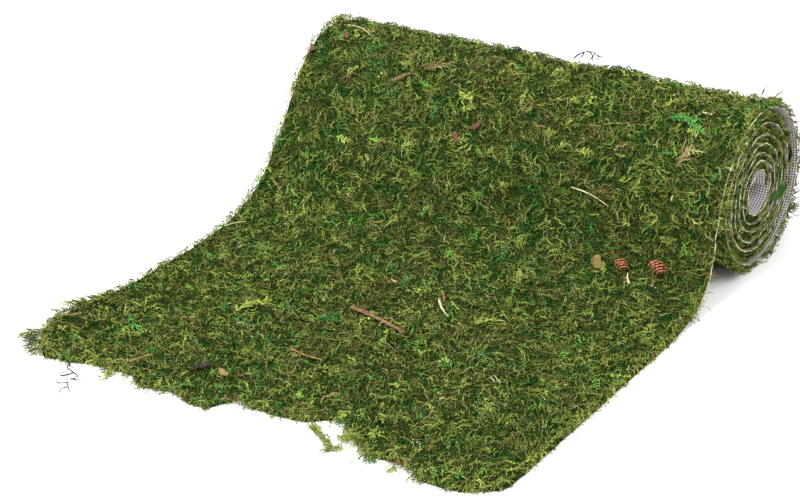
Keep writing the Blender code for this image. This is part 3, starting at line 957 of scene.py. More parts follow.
@dataclass
class MossBed:
    """The moss side of the mat: matted ground, and the shoots that stand on it."""

    shape: MatShape
    seed: int = 7
    overhang: float = 0.0014
    ground_step: float = 0.003
    ground_height: float = 0.0013
    ground_swell: float = 0.0005
    habits: tuple = (
        Habit("leafy_shoots", Growth.LEAFY, 43500, (0.006, 0.016), (0.00030, 0.00062), (0.0008, 0.0044),
              (-0.1, 0.45), 8, curl=1.1, sparkle=0.15, pieces=3),
        Habit("broad_shoots", Growth.LEAFY, 6500, (0.010, 0.018), (0.0008, 0.0015), (0.0022, 0.0044),
              (0.0, 0.5), 10, curl=1.5, sparkle=0.14),
        Habit("curled_shoots", Growth.CORD, 1400, (0.006, 0.012), (0.0005, 0.0008), (0.0026, 0.0048),
              (0.0, 0.6), 7, curl=3.2, wiggle=0.7, sparkle=0.12),
        Habit("fibres", Growth.THREAD, 11000, (0.006, 0.018), (0.00028, 0.00046), (0.0028, 0.0052),
              (0.0, 0.40), 6, curl=1.5, sparkle=0.08,
              hues=((Hue.BROWN, 0.11), (Hue.PALE, 0.02), (Hue.STRAW, 0.12), (Hue.OLIVE, 0.40))),
        Habit("fern_sprigs", Growth.FERN, 800, (0.010, 0.022), (0.0022, 0.0040), (0.0036, 0.0050),
              (0.0, 0.35), 8, curl=1.0, wiggle=0.25, margin=0.004,
              hues=((Hue.YELLOW, 0.40), (Hue.EMERALD, 0.20), (Hue.GRASS, 0.15))),
    )
    fringe: Habit = Habit("roll_end_moss", Growth.LEAFY, 4400, (0.003, 0.0065), (0.0006, 0.0012),
                          (0.0008, 0.0056), (-0.2, 1.2), 5, curl=1.4, droop=0.2, sparkle=0.14,
                          top=(0.0050, 0.0075))
    stuffing: Habit = Habit("roll_end_stuffing", Growth.LEAFY, 0, (0.004, 0.008), (0.0007, 0.0013),
                            (0.0010, 0.0070), (0.0, 1.3), 6, curl=1.4, droop=0.2, sparkle=0.14,
                            top=(0.0068, 0.0100))
    gaps: tuple = ((0.86, 1.03, 300), (1.03, 1.30, 120), (1.42, 1.75, 190), (1.75, 2.30, 260),
                   (2.40, 2.75, 140), (2.75, 3.30, 220), (3.40, 4.30, 260), (4.40, 5.30, 180))
    rim: Habit = Habit("edge_shoots", Growth.LEAFY, 1700, (0.003, 0.008), (0.0006, 0.0012),
                       (0.0008, 0.0046), (-0.1, 0.6), 7, curl=1.9, droop=0.9, sparkle=0.14)
    front_rim: Habit = Habit("edge_shoots_front", Growth.LEAFY, 900, (0.004, 0.010), (0.0006, 0.0013),
                             (0.0008, 0.0042), (-0.1, 0.5), 8, curl=1.7, droop=0.9, sparkle=0.14)
    rolled_start: float = 0.56
    rolled_step: float = 0.0028
    rolled_ragged: tuple[float, float] = (0.0014, 0.0009)
    rolled_height: tuple[float, float] = (0.0007, 0.0053)
    end_insets: tuple = (0.0, 0.0, 0.004, 0.02, 0.10)
    end_tops: tuple = (0.0010, 0.0042, 0.0048, 0.0050, 0.0050)
    thinnest: float = 0.0005

    def __post_init__(self) -> None:
        """Make the finish and the random source that all shoots share."""
        self.rng = np.random.default_rng(self.seed)
        self.material = MossShootFinish().make()
        self.ground_material = MossGroundFinish().make()

    def dress(self, x: np.ndarray, run: np.ndarray, depth: np.ndarray) -> tuple:
        """Pick each shoot's colour and heading from its tuft, with painted shade deep down and at tuft
        borders.

        Args:
            x: places across the mat.
            run: places along it.
            depth: 0 for shoots at the bottom of the moss to 1 for those on top.

        Returns:
            Hue and lightness on the finish's scales, and the heading.
        """
        rng, count = self.rng, len(x)
        tuft, inside = self.shape.tufts.find(x, run)
        kind, shade, glow, way = tuft.T
        drift = 0.03 * soft_noise(x, run, 0.045, 11) + 0.12 * (shade - 0.5)
        mossy, dry = soft_noise(x, run, 0.020, 12), soft_noise(x, run, 0.024, 13)
        tone = np.clip(rng.normal(0.46, 0.05, count) + drift + 0.05 * (depth - 0.5), 0.28, 0.66)
        dice = rng.random(count)
        patches = (
            (Hue.BROWN, (dice < 0.02) | ((kind < 0.04) & (dice < 0.55)) | ((dry > 0.35) & (dice < 0.14))),
            (Hue.STRAW, ((kind < 0.04) & (dice > 0.9)) | ((dry > 0.35) & (dice > 0.95))),
            (Hue.OLIVE, (dry > 0.2) & (dice > 0.45) & (dice < 0.8)),
            (Hue.EMERALD, ((kind > 0.93) & (dice > 0.4)) | ((mossy > 0.4) & (dice > 0.78))),
            (Hue.YELLOW, (kind > 0.78) & (kind < 0.88) & (dice > 0.25)),
            (Hue.PALE, (kind > 0.765) & (kind < 0.78) & (dice > 0.7)),
            (Hue.PALE, (dice > 0.985) & (depth > 0.3)),
            (Hue.GRASS, (dice > 0.925) & (dice < 0.95)),
        )
        for hue, where in patches:
            tone[where] = hue.pick(rng, int(where.sum()))
        # Shoots lower in the moss are darker: painted shade in its depths.
        light = rng.normal(0.49, 0.22, count) + 0.28 * (depth - 0.5) + 0.17 * (glow - 0.5)
        # Darker towards a tuft's border: painted shade in the gaps between tufts.
        light = light + 0.14 * (ease(inside / 0.5) - 0.6)
        return tone, np.clip(light, 0.0, 1.0), 2 * math.pi * way + rng.normal(0, 0.6, count)

    def scatter(self, count: int, margin: float) -> tuple[np.ndarray, np.ndarray]:
        """Spread places evenly over the moss that shows, and thinly over what faces the floor.

        Args:
            count: about how many there would be if none were left out.
            margin: how far inside the edges they stay.

        Returns:
            x and run of each place.
        """
        shape = self.shape
        wide = shape.width - 2 * margin
        first = shape.frontmost()
        long = shape.shown_run - first
        cell = math.sqrt(wide * long / count)
        columns, rows = round(wide / cell), round(long / cell)
        i, j = np.meshgrid(np.arange(columns), np.arange(rows), indexing="ij")
        jitter = self.rng.random((3, *i.shape))
        x = (((i + jitter[0]) / columns - 0.5) * wide).ravel()
        run = (first + (j + jitter[1]) / rows * long).ravel()
        turn = (run - shape.top_run) / (shape.run_at_turn(1.0) - shape.top_run)
        share = np.interp(turn, [0.05, 0.2, 0.36, 0.42, 0.58, 0.62], [1.0, 0.72, 0.72, 0.25, 0.25, 0.0])
        share = np.where((turn > 0.58) & (np.abs(x) > 0.12), 0.6, share)
        share = share * (0.42 + 0.58 * ease(shape.tufts.find(x, run)[1] / 0.32))
        keep = (run > shape.front_run(x) + margin) & (jitter[2].ravel() < share)
        return x[keep], run[keep]

    def build_habit(self, habit: Habit) -> list[bpy.types.Object]:
        """Grow one kind of shoot over the whole mat.

        Args:
            habit: the kind.

        Returns:
            Its pieces, dealt so that none has too many faces.
        """
        rng = self.rng
        x, run = self.scatter(habit.count, habit.margin)
        depth = rng.random(len(x))
        height = habit.foot[0] + (habit.foot[1] - habit.foot[0]) * depth
        tone, light, heading = self.dress(x, run, depth)
        dice, reached = rng.random(len(x)), 0.0
        for hue, share in habit.hues:
            where = (dice >= reached) & (dice < reached + share)
            tone[where] = hue.pick(rng, int(where.sum()))
            reached += share
        pieces = []
        for part in range(habit.pieces):
            pick = slice(part, None, habit.pieces)
            shoots = Shoots(habit, rng, *(each[pick] for each in (x, run, height, heading, tone, light)))
            name = habit.name if habit.pieces == 1 else f"{habit.name}_{part + 1}"
            pieces.append(shoots.build(self.shape, self.material, name, True))
        return pieces

    def plant(self, habit: Habit, name: str, x: np.ndarray, run: np.ndarray, depth: np.ndarray,
              heading: np.ndarray, lumpy: bool, lighter: float = 0.0) -> bpy.types.Object:
        """Grow shoots at given places, in the colours of the tufts there.

        Args:
            habit: how they grow.
            name: the piece's name.
            x: places across the mat.
            run: places along it.
            depth: 0 for shoots at the bottom of the moss to 1 for those on top.
            heading: which way each sets off.
            lumpy: whether they follow the lumps of the moss.
            lighter: how much lighter they are painted than those on the open mat: painted light over the
                shade they stand in.

        Returns:
            The piece.
        """
        tone, light, _ = self.dress(x, run, depth)
        height = habit.foot[0] + depth * (habit.foot[1] - habit.foot[0])
        light = np.clip(light + lighter, 0, 1)
        shoots = Shoots(habit, self.rng, x, run, height, heading, tone, light)
        return shoots.build(self.shape, self.material, name, lumpy)

    def either_way(self, count: int, stray: float) -> np.ndarray:
        """Headings along the mat, up or down it by chance."""
        way = np.where(self.rng.random(count) < 0.5, 1.0, -1.0)
        return math.pi / 2 * way + self.rng.normal(0, stray, count)

    def build_fringe(self, side: Side) -> bpy.types.Object:
        """The moss that shows between the turns at one end of the roll.

        Args:
            side: which end.

        Returns:
            The piece.
        """
        shape, rng, habit = self.shape, self.rng, self.fringe
        run = rng.uniform(shape.run_at_turn(-0.1), shape.end_run - 0.002, 2 * habit.count)
        clump = soft_noise(run, run * 0, 0.010, 91 + side.value)
        run = run[rng.random(2 * habit.count) < 0.5 + 0.7 * clump][:habit.count]
        x = side.value * (shape.width / 2 + rng.uniform(-0.0045, 0.0006, len(run)))
        depth, heading = rng.random(len(run)), self.either_way(len(run), 0.35)
        # Painted light: the roll-end moss is painted lighter to take away the shade it stands in.
        return self.plant(habit, f"{habit.name}_{side.name.lower()}", x, run, depth, heading, False, 0.12)

    def build_stuffing(self) -> bpy.types.Object:
        """Moss that has sprung up into the gaps under the turns, at the roll's right end."""
        shape, rng, habit = self.shape, self.rng, self.stuffing
        turns = np.concatenate([rng.uniform(low, high, count) for low, high, count in self.gaps])
        run, count = np.array([shape.run_at_turn(turn) for turn in turns]), len(turns)
        x = shape.width / 2 + rng.uniform(-0.006, 0.0008, count)
        tone, light, _ = self.dress(x, run, rng.random(count))
        outermost = turns < self.gaps[0][1]
        tone[outermost] = np.where(rng.random(count) < 0.6, Hue.YELLOW.pick(rng, count), tone)[outermost]
        heading = self.either_way(count, 0.4)
        shoots = Shoots(habit, rng, x, run, rng.uniform(*habit.foot, count), heading, tone, light)
        return shoots.build(shape, self.material, habit.name, False)

    def build_rim(self, side: Side) -> bpy.types.Object:
        """Shoots that hang out past one long edge of the mat, in clumps.

        On the right they are sparse along the drop, where the scrim's cut edge shows.

        Args:
            side: which edge.

        Returns:
            The piece.
        """
        shape, rng, habit = self.shape, self.rng, self.rim
        edge = side.value * shape.width / 2
        run = rng.uniform(shape.front_at(edge), shape.run_at_turn(0.97), 2 * habit.count)
        clump = soft_noise(run, run * 0, 0.012, 81 + side.value)
        on_drop = 0.16 if side is Side.RIGHT else 0.75
        stops = [0.04, 0.08, shape.top_run, shape.top_run + 0.05]
        share = np.interp(run, stops, [1.0, on_drop, on_drop, 1.0])
        run = run[rng.random(2 * habit.count) < (0.45 + 0.55 * clump) * share][:habit.count]
        x = edge + side.value * rng.uniform(-0.005, 0.0012, len(run))
        depth = rng.random(len(run))
        heading = (0.0 if side is Side.RIGHT else math.pi) + rng.normal(0, 0.8, len(run))
        return self.plant(habit, f"{habit.name}_{side.name.lower()}", x, run, depth, heading, True)

    def build_front_rim(self) -> bpy.types.Object:
        """Shoots that hang out past the ragged front edge."""
        shape, rng, habit = self.shape, self.rng, self.front_rim
        x = rng.uniform(-0.5, 0.5, habit.count) * shape.width
        run = shape.front_run(x) + rng.uniform(0.001, 0.008, habit.count)
        depth = rng.random(habit.count)
        heading = -math.pi / 2 + rng.normal(0, 0.8, habit.count)
        return self.plant(habit, habit.name, x, run, depth, heading, True)

    def lay(self, name: str, grid_x: np.ndarray, grid_run: np.ndarray, height: np.ndarray,
            lumpy: bool) -> bpy.types.Object:
        """Make a piece of matted moss from a grid of sheet-space points.

        Args:
            name: the piece's name.
            grid_x: places across the mat, as a grid.
            grid_run: places along it.
            height: heights above the backing.
            lumpy: whether it follows the lumps.

        Returns:
            The piece.
        """
        across, along = np.meshgrid(*[np.linspace(0, 1, n) for n in grid_x.shape], indexing="ij")
        places = np.stack([across, along], -1).reshape(-1, 2)
        points = np.stack([grid_x, grid_run, height], -1).reshape(-1, 3)
        layer, pile = (grid_quads(*grid_x.shape), places), MeshPile()
        pile.add(self.shape.wrap_on_moss(points) if lumpy else self.shape.wrap(points), [layer])
        return pile.build(name, self.ground_material, True)

    def build_ground(self) -> bpy.types.Object:
        """The matted moss under the shoots, over the part that shows."""
        shape, step = self.shape, self.ground_step
        x = np.linspace(-1, 1, round(shape.width / step) + 1) * shape.width / 2
        front = shape.front_run(x)[:, None] + 0.001
        flat_rows = round(-float(front.min()) / step)
        back_rows = round(shape.shown_run / step)
        row = np.arange(flat_rows + back_rows + 1)[None]
        grid_run = front * (1 - np.minimum(row / flat_rows, 1.0))
        grid_run = grid_run + np.maximum(row - flat_rows, 0) / back_rows * shape.shown_run
        reach = 1 + self.overhang * (1 - ease((grid_run - 0.02) / 0.05)) / (shape.width / 2)
        grid_x = x[:, None] * reach
        height = self.ground_height + self.ground_swell * soft_noise(grid_x, grid_run, 0.0035, 5)
        for rim in (height[0], height[-1], height[:, 0]):
            rim[:] = self.thinnest
        return self.lay("moss_ground", grid_x, grid_run, height, True)

    def build_rolled(self) -> bpy.types.Object:
        """The pressed moss inside the roll, a layer with ragged ends."""
        shape = self.shape
        start = shape.run_at_turn(self.rolled_start)
        count = round((shape.end_run - start) / self.rolled_step)
        runs = np.linspace(start, shape.end_run - 0.001, count)
        insets, tops = np.array(self.end_insets), np.array(self.end_tops)
        x = np.concatenate([insets - shape.width / 2, (shape.width / 2 - insets)[::-1]])
        grid_x, grid_run = np.meshgrid(x, runs, indexing="ij")
        height = np.repeat(np.concatenate([tops, tops[::-1]])[:, None], len(runs), 1)
        coarse, fine = self.rolled_ragged
        ragged = coarse * soft_noise(grid_x * 3, grid_run, 0.006, 8)
        ragged = ragged + fine * soft_noise(grid_x, grid_run, 0.0025, 9)
        height = np.clip(height + 0.7 * ragged, *self.rolled_height)
        return self.lay("moss_rolled", grid_x + np.sign(grid_x) * ragged, grid_run, height, False)

    def build(self) -> None:
        """Every piece of the moss, riding on the mat in place of its plain solid."""
        pieces = [self.build_ground(), self.build_rolled()]
        for habit in self.habits:
            pieces += self.build_habit(habit)
        pieces += [self.build_fringe(side) for side in Side]
        pieces += [self.build_rim(side) for side in Side]
        pieces += [self.build_front_rim(), self.build_stuffing()]
        for piece in pieces:
            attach(piece, "root")
            report(piece)
        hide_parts("moss_layer")


# Backing


@dataclass
class Backing:
    """The woven scrim under the moss, and the cut cord along each of its long edges."""

    shape: MatShape
    weave: ScrimFinish = ScrimFinish()
    selvedge: SelvedgeFinish = SelvedgeFinish()
    tiles_across: int = 18
    rows_in_tile: int = 8
    cord_radius: float = 0.00030
    cord_step: float = 0.0022
    cord_corners: int = 5
    cord_reach: float = 0.0006
    cord_sway: float = 0.0006
    cord_lift: float = 0.0009
    setback: float = 0.004
    shortest: float = 0.0005
    floor_gap: float = 0.00002

    def runs(self) -> np.ndarray:
        """Runs of the rows, evenly spaced so that the weave's tiles fit."""
        step = self.shape.width / self.tiles_across / self.rows_in_tile
        first = math.floor(self.shape.frontmost() / step)
        last = math.floor(self.shape.end_run / step)
        return np.arange(first, last + 1) * step

    def build_cloth(self) -> bpy.types.Object:
        """The scrim itself, as a thin closed sheet."""
        shape, runs, columns = self.shape, self.runs(), self.tiles_across
        x = np.linspace(-shape.width / 2, shape.width / 2, columns + 1)
        grid_x, grid_run = np.meshgrid(x, runs, indexing="ij")
        grid_run = np.maximum(grid_run, (shape.front_run(x) + self.setback)[:, None])
        tile_rows = (np.arange(len(runs)) + round(runs[0] / (runs[1] - runs[0]))) % self.rows_in_tile
        low = np.broadcast_to(tile_rows[:-1] / self.rows_in_tile, (columns, len(runs) - 1))
        maps = map_quads(np.zeros_like(low), np.ones_like(low), low, low + 1 / self.rows_in_tile)
        spans = grid_run[:-1, 1:] + grid_run[1:, 1:] - grid_run[:-1, :-1] - grid_run[1:, :-1]
        keep = spans.ravel() > self.shortest
        faces, maps = grid_quads(*grid_x.shape)[keep], maps.reshape(-1, 4, 2)[keep]
        half, pile = shape.backing / 2, MeshPile()
        for height, order in ((half, [0, 1, 2, 3]), (self.floor_gap - half, [3, 2, 1, 0])):
            points = np.stack([grid_x, grid_run, np.full_like(grid_x, height)], -1).reshape(-1, 3)
            pile.add(shape.wrap(points), [(faces[:, order], maps[:, order])])
        return pile.build("scrim_backing", self.weave.make(), True)

    def build_selvedge(self, side: Side) -> bpy.types.Object:
        """The cut edge of the scrim along one side.

        Args:
            side: which side.

        Returns:
            The piece.
        """
        shape, corners = self.shape, self.cord_corners
        rng = np.random.default_rng(40 + side.value)
        x = side.value * shape.width / 2
        first = shape.front_at(x) + self.setback
        count = round((shape.end_run - first) / self.cord_step)
        run = np.linspace(first, shape.end_run - 0.0003, count)
        thick = self.cord_radius * (0.8 + 0.5 * rng.random(count))
        sway = self.cord_sway * soft_noise(run, run * 0, 0.006, 31 + side.value)
        middle = x + side.value * self.cord_reach + sway
        lift = np.maximum(self.cord_lift * soft_noise(run, run * 0, 0.007, 33 + side.value), 0)
        rings, faces, maps, k = [], [], [], np.arange(count - 1)
        for corner in range(corners):
            angle = 2 * math.pi * corner / corners
            out, up = thick * math.cos(angle), thick * math.sin(angle)
            rings.append(np.stack([middle + out, run, lift + up], -1))
            a, b = corner * count, (corner + 1) % corners * count
            faces.append(np.stack([a + k, a + k + 1, b + k + 1, b + k], 1))
            near, far = np.full(len(k), corner / corners), np.full(len(k), (corner + 1) / corners)
            maps.append(map_quads(near, far, k / count, (k + 1) / count)[:, TURNED])
        pile = MeshPile()
        pile.add(shape.wrap(np.concatenate(rings)), [(np.concatenate(faces), np.concatenate(maps))])
        return pile.build(f"selvedge_{side.name.lower()}", self.selvedge.make(), True)

    def build(self) -> None:
        """The cloth and its edges."""
        cloth = self.build_cloth()
        edges = [self.build_selvedge(side) for side in Side]
        for piece in (cloth, *edges):
            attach(piece, "root")
            report(piece)
        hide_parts("backing")
        first = self.shape.front_at(0.0)


# Litter


def round_line(points: tuple, rounds: int = 2) -> np.ndarray:
    """A given line with its corners cut round and its ends kept."""
    line = np.array(points, float)
    for _ in range(rounds):
        cuts = np.stack([line[:-1] * 0.75 + line[1:] * 0.25, line[:-1] * 0.25 + line[1:] * 0.75], 1)
        line = np.concatenate([line[:1], cuts.reshape(-1, line.shape[1])[1:-1], line[-1:]])
    return line


def sweep(line: np.ndarray, wide: np.ndarray, high: np.ndarray, sides: int) -> tuple[np.ndarray, list]:
    """A closed tube of oval section along a line.

    Args:
        line: (n, 3) points along its middle.
        wide: half its width at each point, level with the moss.
        high: half its height.
        sides: corners in a section.

    Returns:
        Its points, and layers of faces with their places on the surface map.
    """
    along = unit(np.gradient(line, axis=0))
    side = unit(np.cross(along, (0.01, 0.0, 1.0)))
    up = np.cross(side, along)
    count, k = len(line), np.arange(sides)
    angle = 2 * math.pi * k / sides - math.pi / 2
    ring = side[:, None] * (np.cos(angle) * wide[:, None])[..., None]
    ring = ring + up[:, None] * (np.sin(angle) * high[:, None])[..., None]
    i, j = (grid.ravel() for grid in np.meshgrid(np.arange(count - 1), k, indexing="ij"))
    after = (j + 1) % sides
    faces = np.stack([i * sides + j, (i + 1) * sides + j, (i + 1) * sides + after, i * sides + after], 1)
    u, v, du, dv = j / sides, i / (count - 1), 1 / sides, 1 / (count - 1)
    places = map_quads(u, u + du, v, v + dv)[:, TURNED]
    disc = 0.5 + 0.1 * np.stack([np.cos(angle), np.sin(angle)], -1)
    caps = [(k[None], disc[None]), ((count - 1) * sides + k[None, ::-1], disc[None, ::-1])]
    return (line[:, None] + ring).reshape(-1, 3), [(faces, places), *caps]


def shell(grid: np.ndarray, thick: float) -> tuple[np.ndarray, list]:
    """A thin closed solid on a grid of points.

    Args:
        grid: (rows, columns, 3) points of its middle surface.
        thick: how thick it is.

    Returns:
        Its points, and layers of faces with their places on the surface map.
    """
    rows, columns = grid.shape[:2]
    out = unit(np.cross(np.gradient(grid, axis=1), np.gradient(grid, axis=0))) * thick / 2
    points = np.concatenate([(grid + out).reshape(-1, 3), (grid - out).reshape(-1, 3)])
    number, size = np.arange(rows * columns).reshape(rows, columns), rows * columns
    quads = grid_quads(rows, columns)[:, TURNED]
    v, u = np.meshgrid(np.linspace(0, 1, rows), np.linspace(0, 1, columns), indexing="ij")
    flat = np.stack([u, v], -1).reshape(-1, 2)
    edge = np.concatenate([number[0], number[1:, -1], number[-1, -2::-1], number[-2:0:-1, 0]])
    after = np.roll(edge, -1)
    near, far = flat * 0.92 + 0.04, flat
    rim = np.stack([near[after], near[edge], far[edge], far[after]], 1)
    return points, [(np.concatenate([quads, quads[:, ::-1] + size]), np.concatenate([near, near])),
                    (np.stack([after, edge, edge + size, after + size], 1), rim)]


@dataclass(frozen=True)
class Stalk:
    """A stiff dry stalk or splinter that lies on the moss from one (x, run) place to another.

    It bows to one side and thins towards its end. Its middle may dip under the shoots, so that it
    shows as two pieces. flat is its height over its width.
    """

    name: str
    start: tuple[float, float]
    end: tuple[float, float]
    radius: float
    bow: float = 0.0
    taper: float = 0.35
    flat: float = 0.9
    rough: float = 0.08
    lift: float = 0.0050
    dip: float = 0.0
    rows: int = 18
    sides: int = 8

    def mould(self, shape: MatShape, rng: np.random.Generator) -> tuple[np.ndarray, list]:
        """Its points in place, and its layers of faces."""
        t = np.linspace(0, 1, self.rows)
        start, end = np.array(self.start), np.array(self.end)
        way = (end - start) / np.linalg.norm(end - start)
        sway = self.bow * np.sin(math.pi * t) + 0.10 * self.radius * rng.normal(0, 1, self.rows)
        place = start + (end - start) * t[:, None] + sway[:, None] * np.array([-way[1], way[0]])
        thick = self.radius * (1 - self.taper * t) * (1 + self.rough * rng.normal(0, 1, self.rows))
        thick[[0, -1]] *= 0.55
        height = shape.rest(place[:, 0], place[:, 1]) + self.lift + self.radius * self.flat
        height = height - self.dip * np.sin(math.pi * t) ** 2
        points, layers = sweep(np.column_stack([place, height]), thick, thick * self.flat, self.sides)
        points = points + rng.normal(0, 0.5 * self.rough * self.radius, points.shape)
        return shape.wrap(points), layers


@dataclass(frozen=True)
class Cone:
    """A small seed cone on its side: a curved core with rows of open, cupped scales round it."""

    name: str
    place: tuple[float, float]
    length: float
    width: float
    turn: float
    bend: float
    rows: int = 5
    in_row: int = 7
    lift: float = 0.0080
    core_share: float = 0.45
    scale_thick: float = 0.0006

    def mould(self, shape: MatShape, rng: np.random.Generator) -> tuple[np.ndarray, list]:
        """Its points in place, and its layers of faces."""
        t = np.linspace(0, 1, 24)
        heading = self.turn + self.bend * (t - 0.5)
        tangent = np.stack([np.cos(heading), np.sin(heading), 0 * t], -1)
        line = np.cumsum(tangent, axis=0) * self.length / len(t)
        line = line - line.mean(axis=0) + np.array([*self.place, self.lift + shape.rest_at(self.place)])
        girth = self.width / 2 * np.sin(math.pi * (0.10 + 0.82 * t)) ** 0.6
        blocks = [sweep(line, self.core_share * girth, self.core_share * girth, 8)]
        v, u = np.meshgrid(np.linspace(0, 1, 4), np.linspace(-1, 1, 5), indexing="ij")
        broad = np.array([0.4, 0.85, 1.0, 0.75])[:, None]
        pitch = self.length / self.rows
        for number in range(self.rows * self.in_row):
            row, slot = divmod(number, self.in_row)
            at = 0.04 + (row + 0.5 + rng.uniform(-0.12, 0.12)) / self.rows * 0.9
            spin = 2 * math.pi * (slot + 0.5 * (row % 2) + rng.uniform(-0.1, 0.1)) / self.in_row
            middle = np.array([np.interp(at, t, line[:, axis]) for axis in range(3)])
            turn = self.turn + self.bend * (at - 0.5)
            ahead = np.array([math.cos(turn), math.sin(turn), 0.0])
            level = np.array([-ahead[1], ahead[0], 0.0])
            out = level * math.cos(spin) + np.array([0, 0, 1.0]) * math.sin(spin)
            around = np.cross(ahead, out)
            size = float(np.interp(at, t, girth)) * rng.uniform(0.85, 1.12)
            reach = out * 0.85 * size + ahead * pitch * rng.uniform(0.35, 0.75)
            cup = np.cross(around, reach) / np.linalg.norm(reach)
            grid = middle + 0.15 * size * out + v[..., None] * reach
            grid = grid + around * (u * broad * 0.62 * size)[..., None]
            grid = grid - cup * ((u**2 * 0.22 + v**2 * 0.14) * size)[..., None]
            blocks.append(shell(grid, self.scale_thick))
        return join_blocks(shape, blocks)


@dataclass(frozen=True)
class DryLeaf:
    """A dry leaf or husk, curled across its width, with a wavy edge and a pointed end."""

    name: str
    place: tuple[float, float]
    length: float
    width: float
    curl: float
    turn: float
    hollow_up: bool = False
    lift: float = 0.0052
    thick: float = 0.0003

    def mould(self, shape: MatShape, rng: np.random.Generator) -> tuple[np.ndarray, list]:
        """Its points in place, and its layers of faces."""
        rows, columns = 12, 9
        t, across = np.meshgrid(np.linspace(0.04, 0.97, rows), np.linspace(-0.5, 0.5, columns), indexing="ij")
        ragged = 1 + 0.10 * rng.normal(0, 1, (rows, 1)) * np.abs(across) * 2
        angle = across * self.curl * np.sin(math.pi * t**0.85) ** 0.6 * ragged
        radius = self.width / self.curl
        hand = -1 if self.hollow_up else 1
        side, high = radius * np.sin(angle), hand * radius * (np.cos(angle) - 1)
        along = (t - 0.5) * self.length
        high = high + 0.0005 * np.sin(9 * t + 4 * across) + 0.3 * self.length * (t - 0.5) ** 2
        drop = radius * (1 - math.cos(self.curl / 2)) if not self.hollow_up else 0.0
        x = self.place[0] + side * math.cos(self.turn) - along * math.sin(self.turn)
        run = self.place[1] + side * math.sin(self.turn) + along * math.cos(self.turn)
        high = high + drop + self.lift + shape.rest_at(self.place)
        return join_blocks(shape, [shell(np.stack([x, run, high], -1), self.thick)])


@dataclass(frozen=True)
class Tangle:
    """Wiry curls of dry lichen: thin branched threads, each along a given line in sheet space."""

    name: str
    wires: tuple
    radius: float
    sides: int = 5

    def mould(self, shape: MatShape, rng: np.random.Generator) -> tuple[np.ndarray, list]:
        """Its points in place, and its layers of faces."""
        blocks = []
        for wire in self.wires:
            line = round_line(wire)
            t = np.linspace(0, 1, len(line))
            thick = self.radius * (1 - 0.45 * t) * rng.uniform(0.8, 1.2, len(line))
            blocks.append(sweep(line, thick, thick, self.sides))
        return join_blocks(shape, blocks)


@dataclass(frozen=True)
class Grains:
    """Pale grit and seed husks that are caught in the moss, in patches of (x, run, spread, count)."""

    name: str
    patches: tuple
    size: tuple[float, float] = (0.00025, 0.0005)
    lift: tuple[float, float] = (0.0042, 0.0056)

    def mould(self, shape: MatShape, rng: np.random.Generator) -> tuple[np.ndarray, list]:
        """Its points in place, and its layers of faces."""
        axes = np.concatenate([np.eye(3), -np.eye(3)])
        faces = np.array([(0, 1, 2), (1, 3, 2), (3, 4, 2), (4, 0, 2),
                          (1, 0, 5), (3, 1, 5), (4, 3, 5), (0, 4, 5)])
        corner = np.array([(0.0, 0.0), (0.1, 0.0), (0.05, 0.1)])
        blocks = []
        for x, run, spread, count in self.patches:
            for _ in range(count):
                place = np.array([x + rng.normal(0, spread), run + rng.normal(0, spread), 0.0])
                place[2] = float(shape.lump(place[:1], place[1:2])[0]) + rng.uniform(*self.lift)
                stretch = rng.uniform(*self.size) * rng.uniform(0.6, 1.4, 3)
                shift = rng.random((len(faces), 1, 2)) * 0.9
                blocks.append((place + axes * stretch, [(faces, corner[None] + shift)]))
        return join_blocks(shape, blocks)


def join_blocks(shape: MatShape, blocks: list) -> tuple[np.ndarray, list]:
    """Join several solids in sheet space and wrap them onto the mat.

    Args:
        shape: wraps them.
        blocks: pairs of points and layers.

    Returns:
        All points in place, and all layers.
    """
    layers, count = [], 0
    for points, parts in blocks:
        layers += [(faces + count, places if places.ndim == 3 else places[faces]) for faces, places in parts]
        count += len(points)
    return shape.wrap(np.concatenate([points for points, _ in blocks])), layers


@dataclass(frozen=True)
class Spray:
    """Shoots set along a given line of (x, run) places: a frond, a sprig or a wispy strip.

    spread is how far they stand to the sides of the line, stray how much their headings differ
    from its own, and height the least and most above the backing.
    """

    piece: str
    growth: Growth
    line: tuple
    count: int
    length: tuple[float, float]
    width: tuple[float, float]
    hue: Hue
    light: float = 0.7
    spread: float = 0.0008
    stray: float = 0.4
    height: tuple[float, float] = (0.0045, 0.0060)
    steps: int = 9
    curl: float = 0.7
    climb: tuple[float, float] = (0.0, 0.25)
    foot: float = 0.0008
    rise: float = 0.0015

    def pour(self, pile: MeshPile, shape: MatShape, rng: np.random.Generator) -> None:
        """Add its shoots to a pile.

        Args:
            pile: takes their faces.
            shape: wraps them onto the mat.
            rng: the random source that all sprays share.
        """
        line = round_line(self.line)
        t = np.sort(rng.random(self.count)) * 0.85 if self.count > 1 else np.zeros(1)
        spots = t * (len(line) - 1)
        steps = np.gradient(line, axis=0)
        x, run, east, north = (np.interp(spots, np.arange(len(line)), column)
                               for column in (*line.T, *steps.T))
        habit = Habit(self.piece, self.growth, self.count, self.length, self.width, (self.foot, 0.006),
                      self.climb, self.steps, curl=self.curl, droop=0.2, wiggle=0.25, sparkle=0.12,
                      top=(self.height[1], self.height[1] + self.rise))
        heading = np.arctan2(north, east) + rng.normal(0, self.stray, self.count)
        shoots = Shoots(habit, rng, x + rng.normal(0, self.spread, self.count),
                        run + rng.normal(0, self.spread, self.count), rng.uniform(*self.height, self.count),
                        heading, self.hue.pick(rng, self.count),
                        np.clip(rng.normal(self.light, 0.12, self.count), 0, 1))
        shoots.pour(pile, shape, bool(run.min() > float(shape.front_run(x).max())))


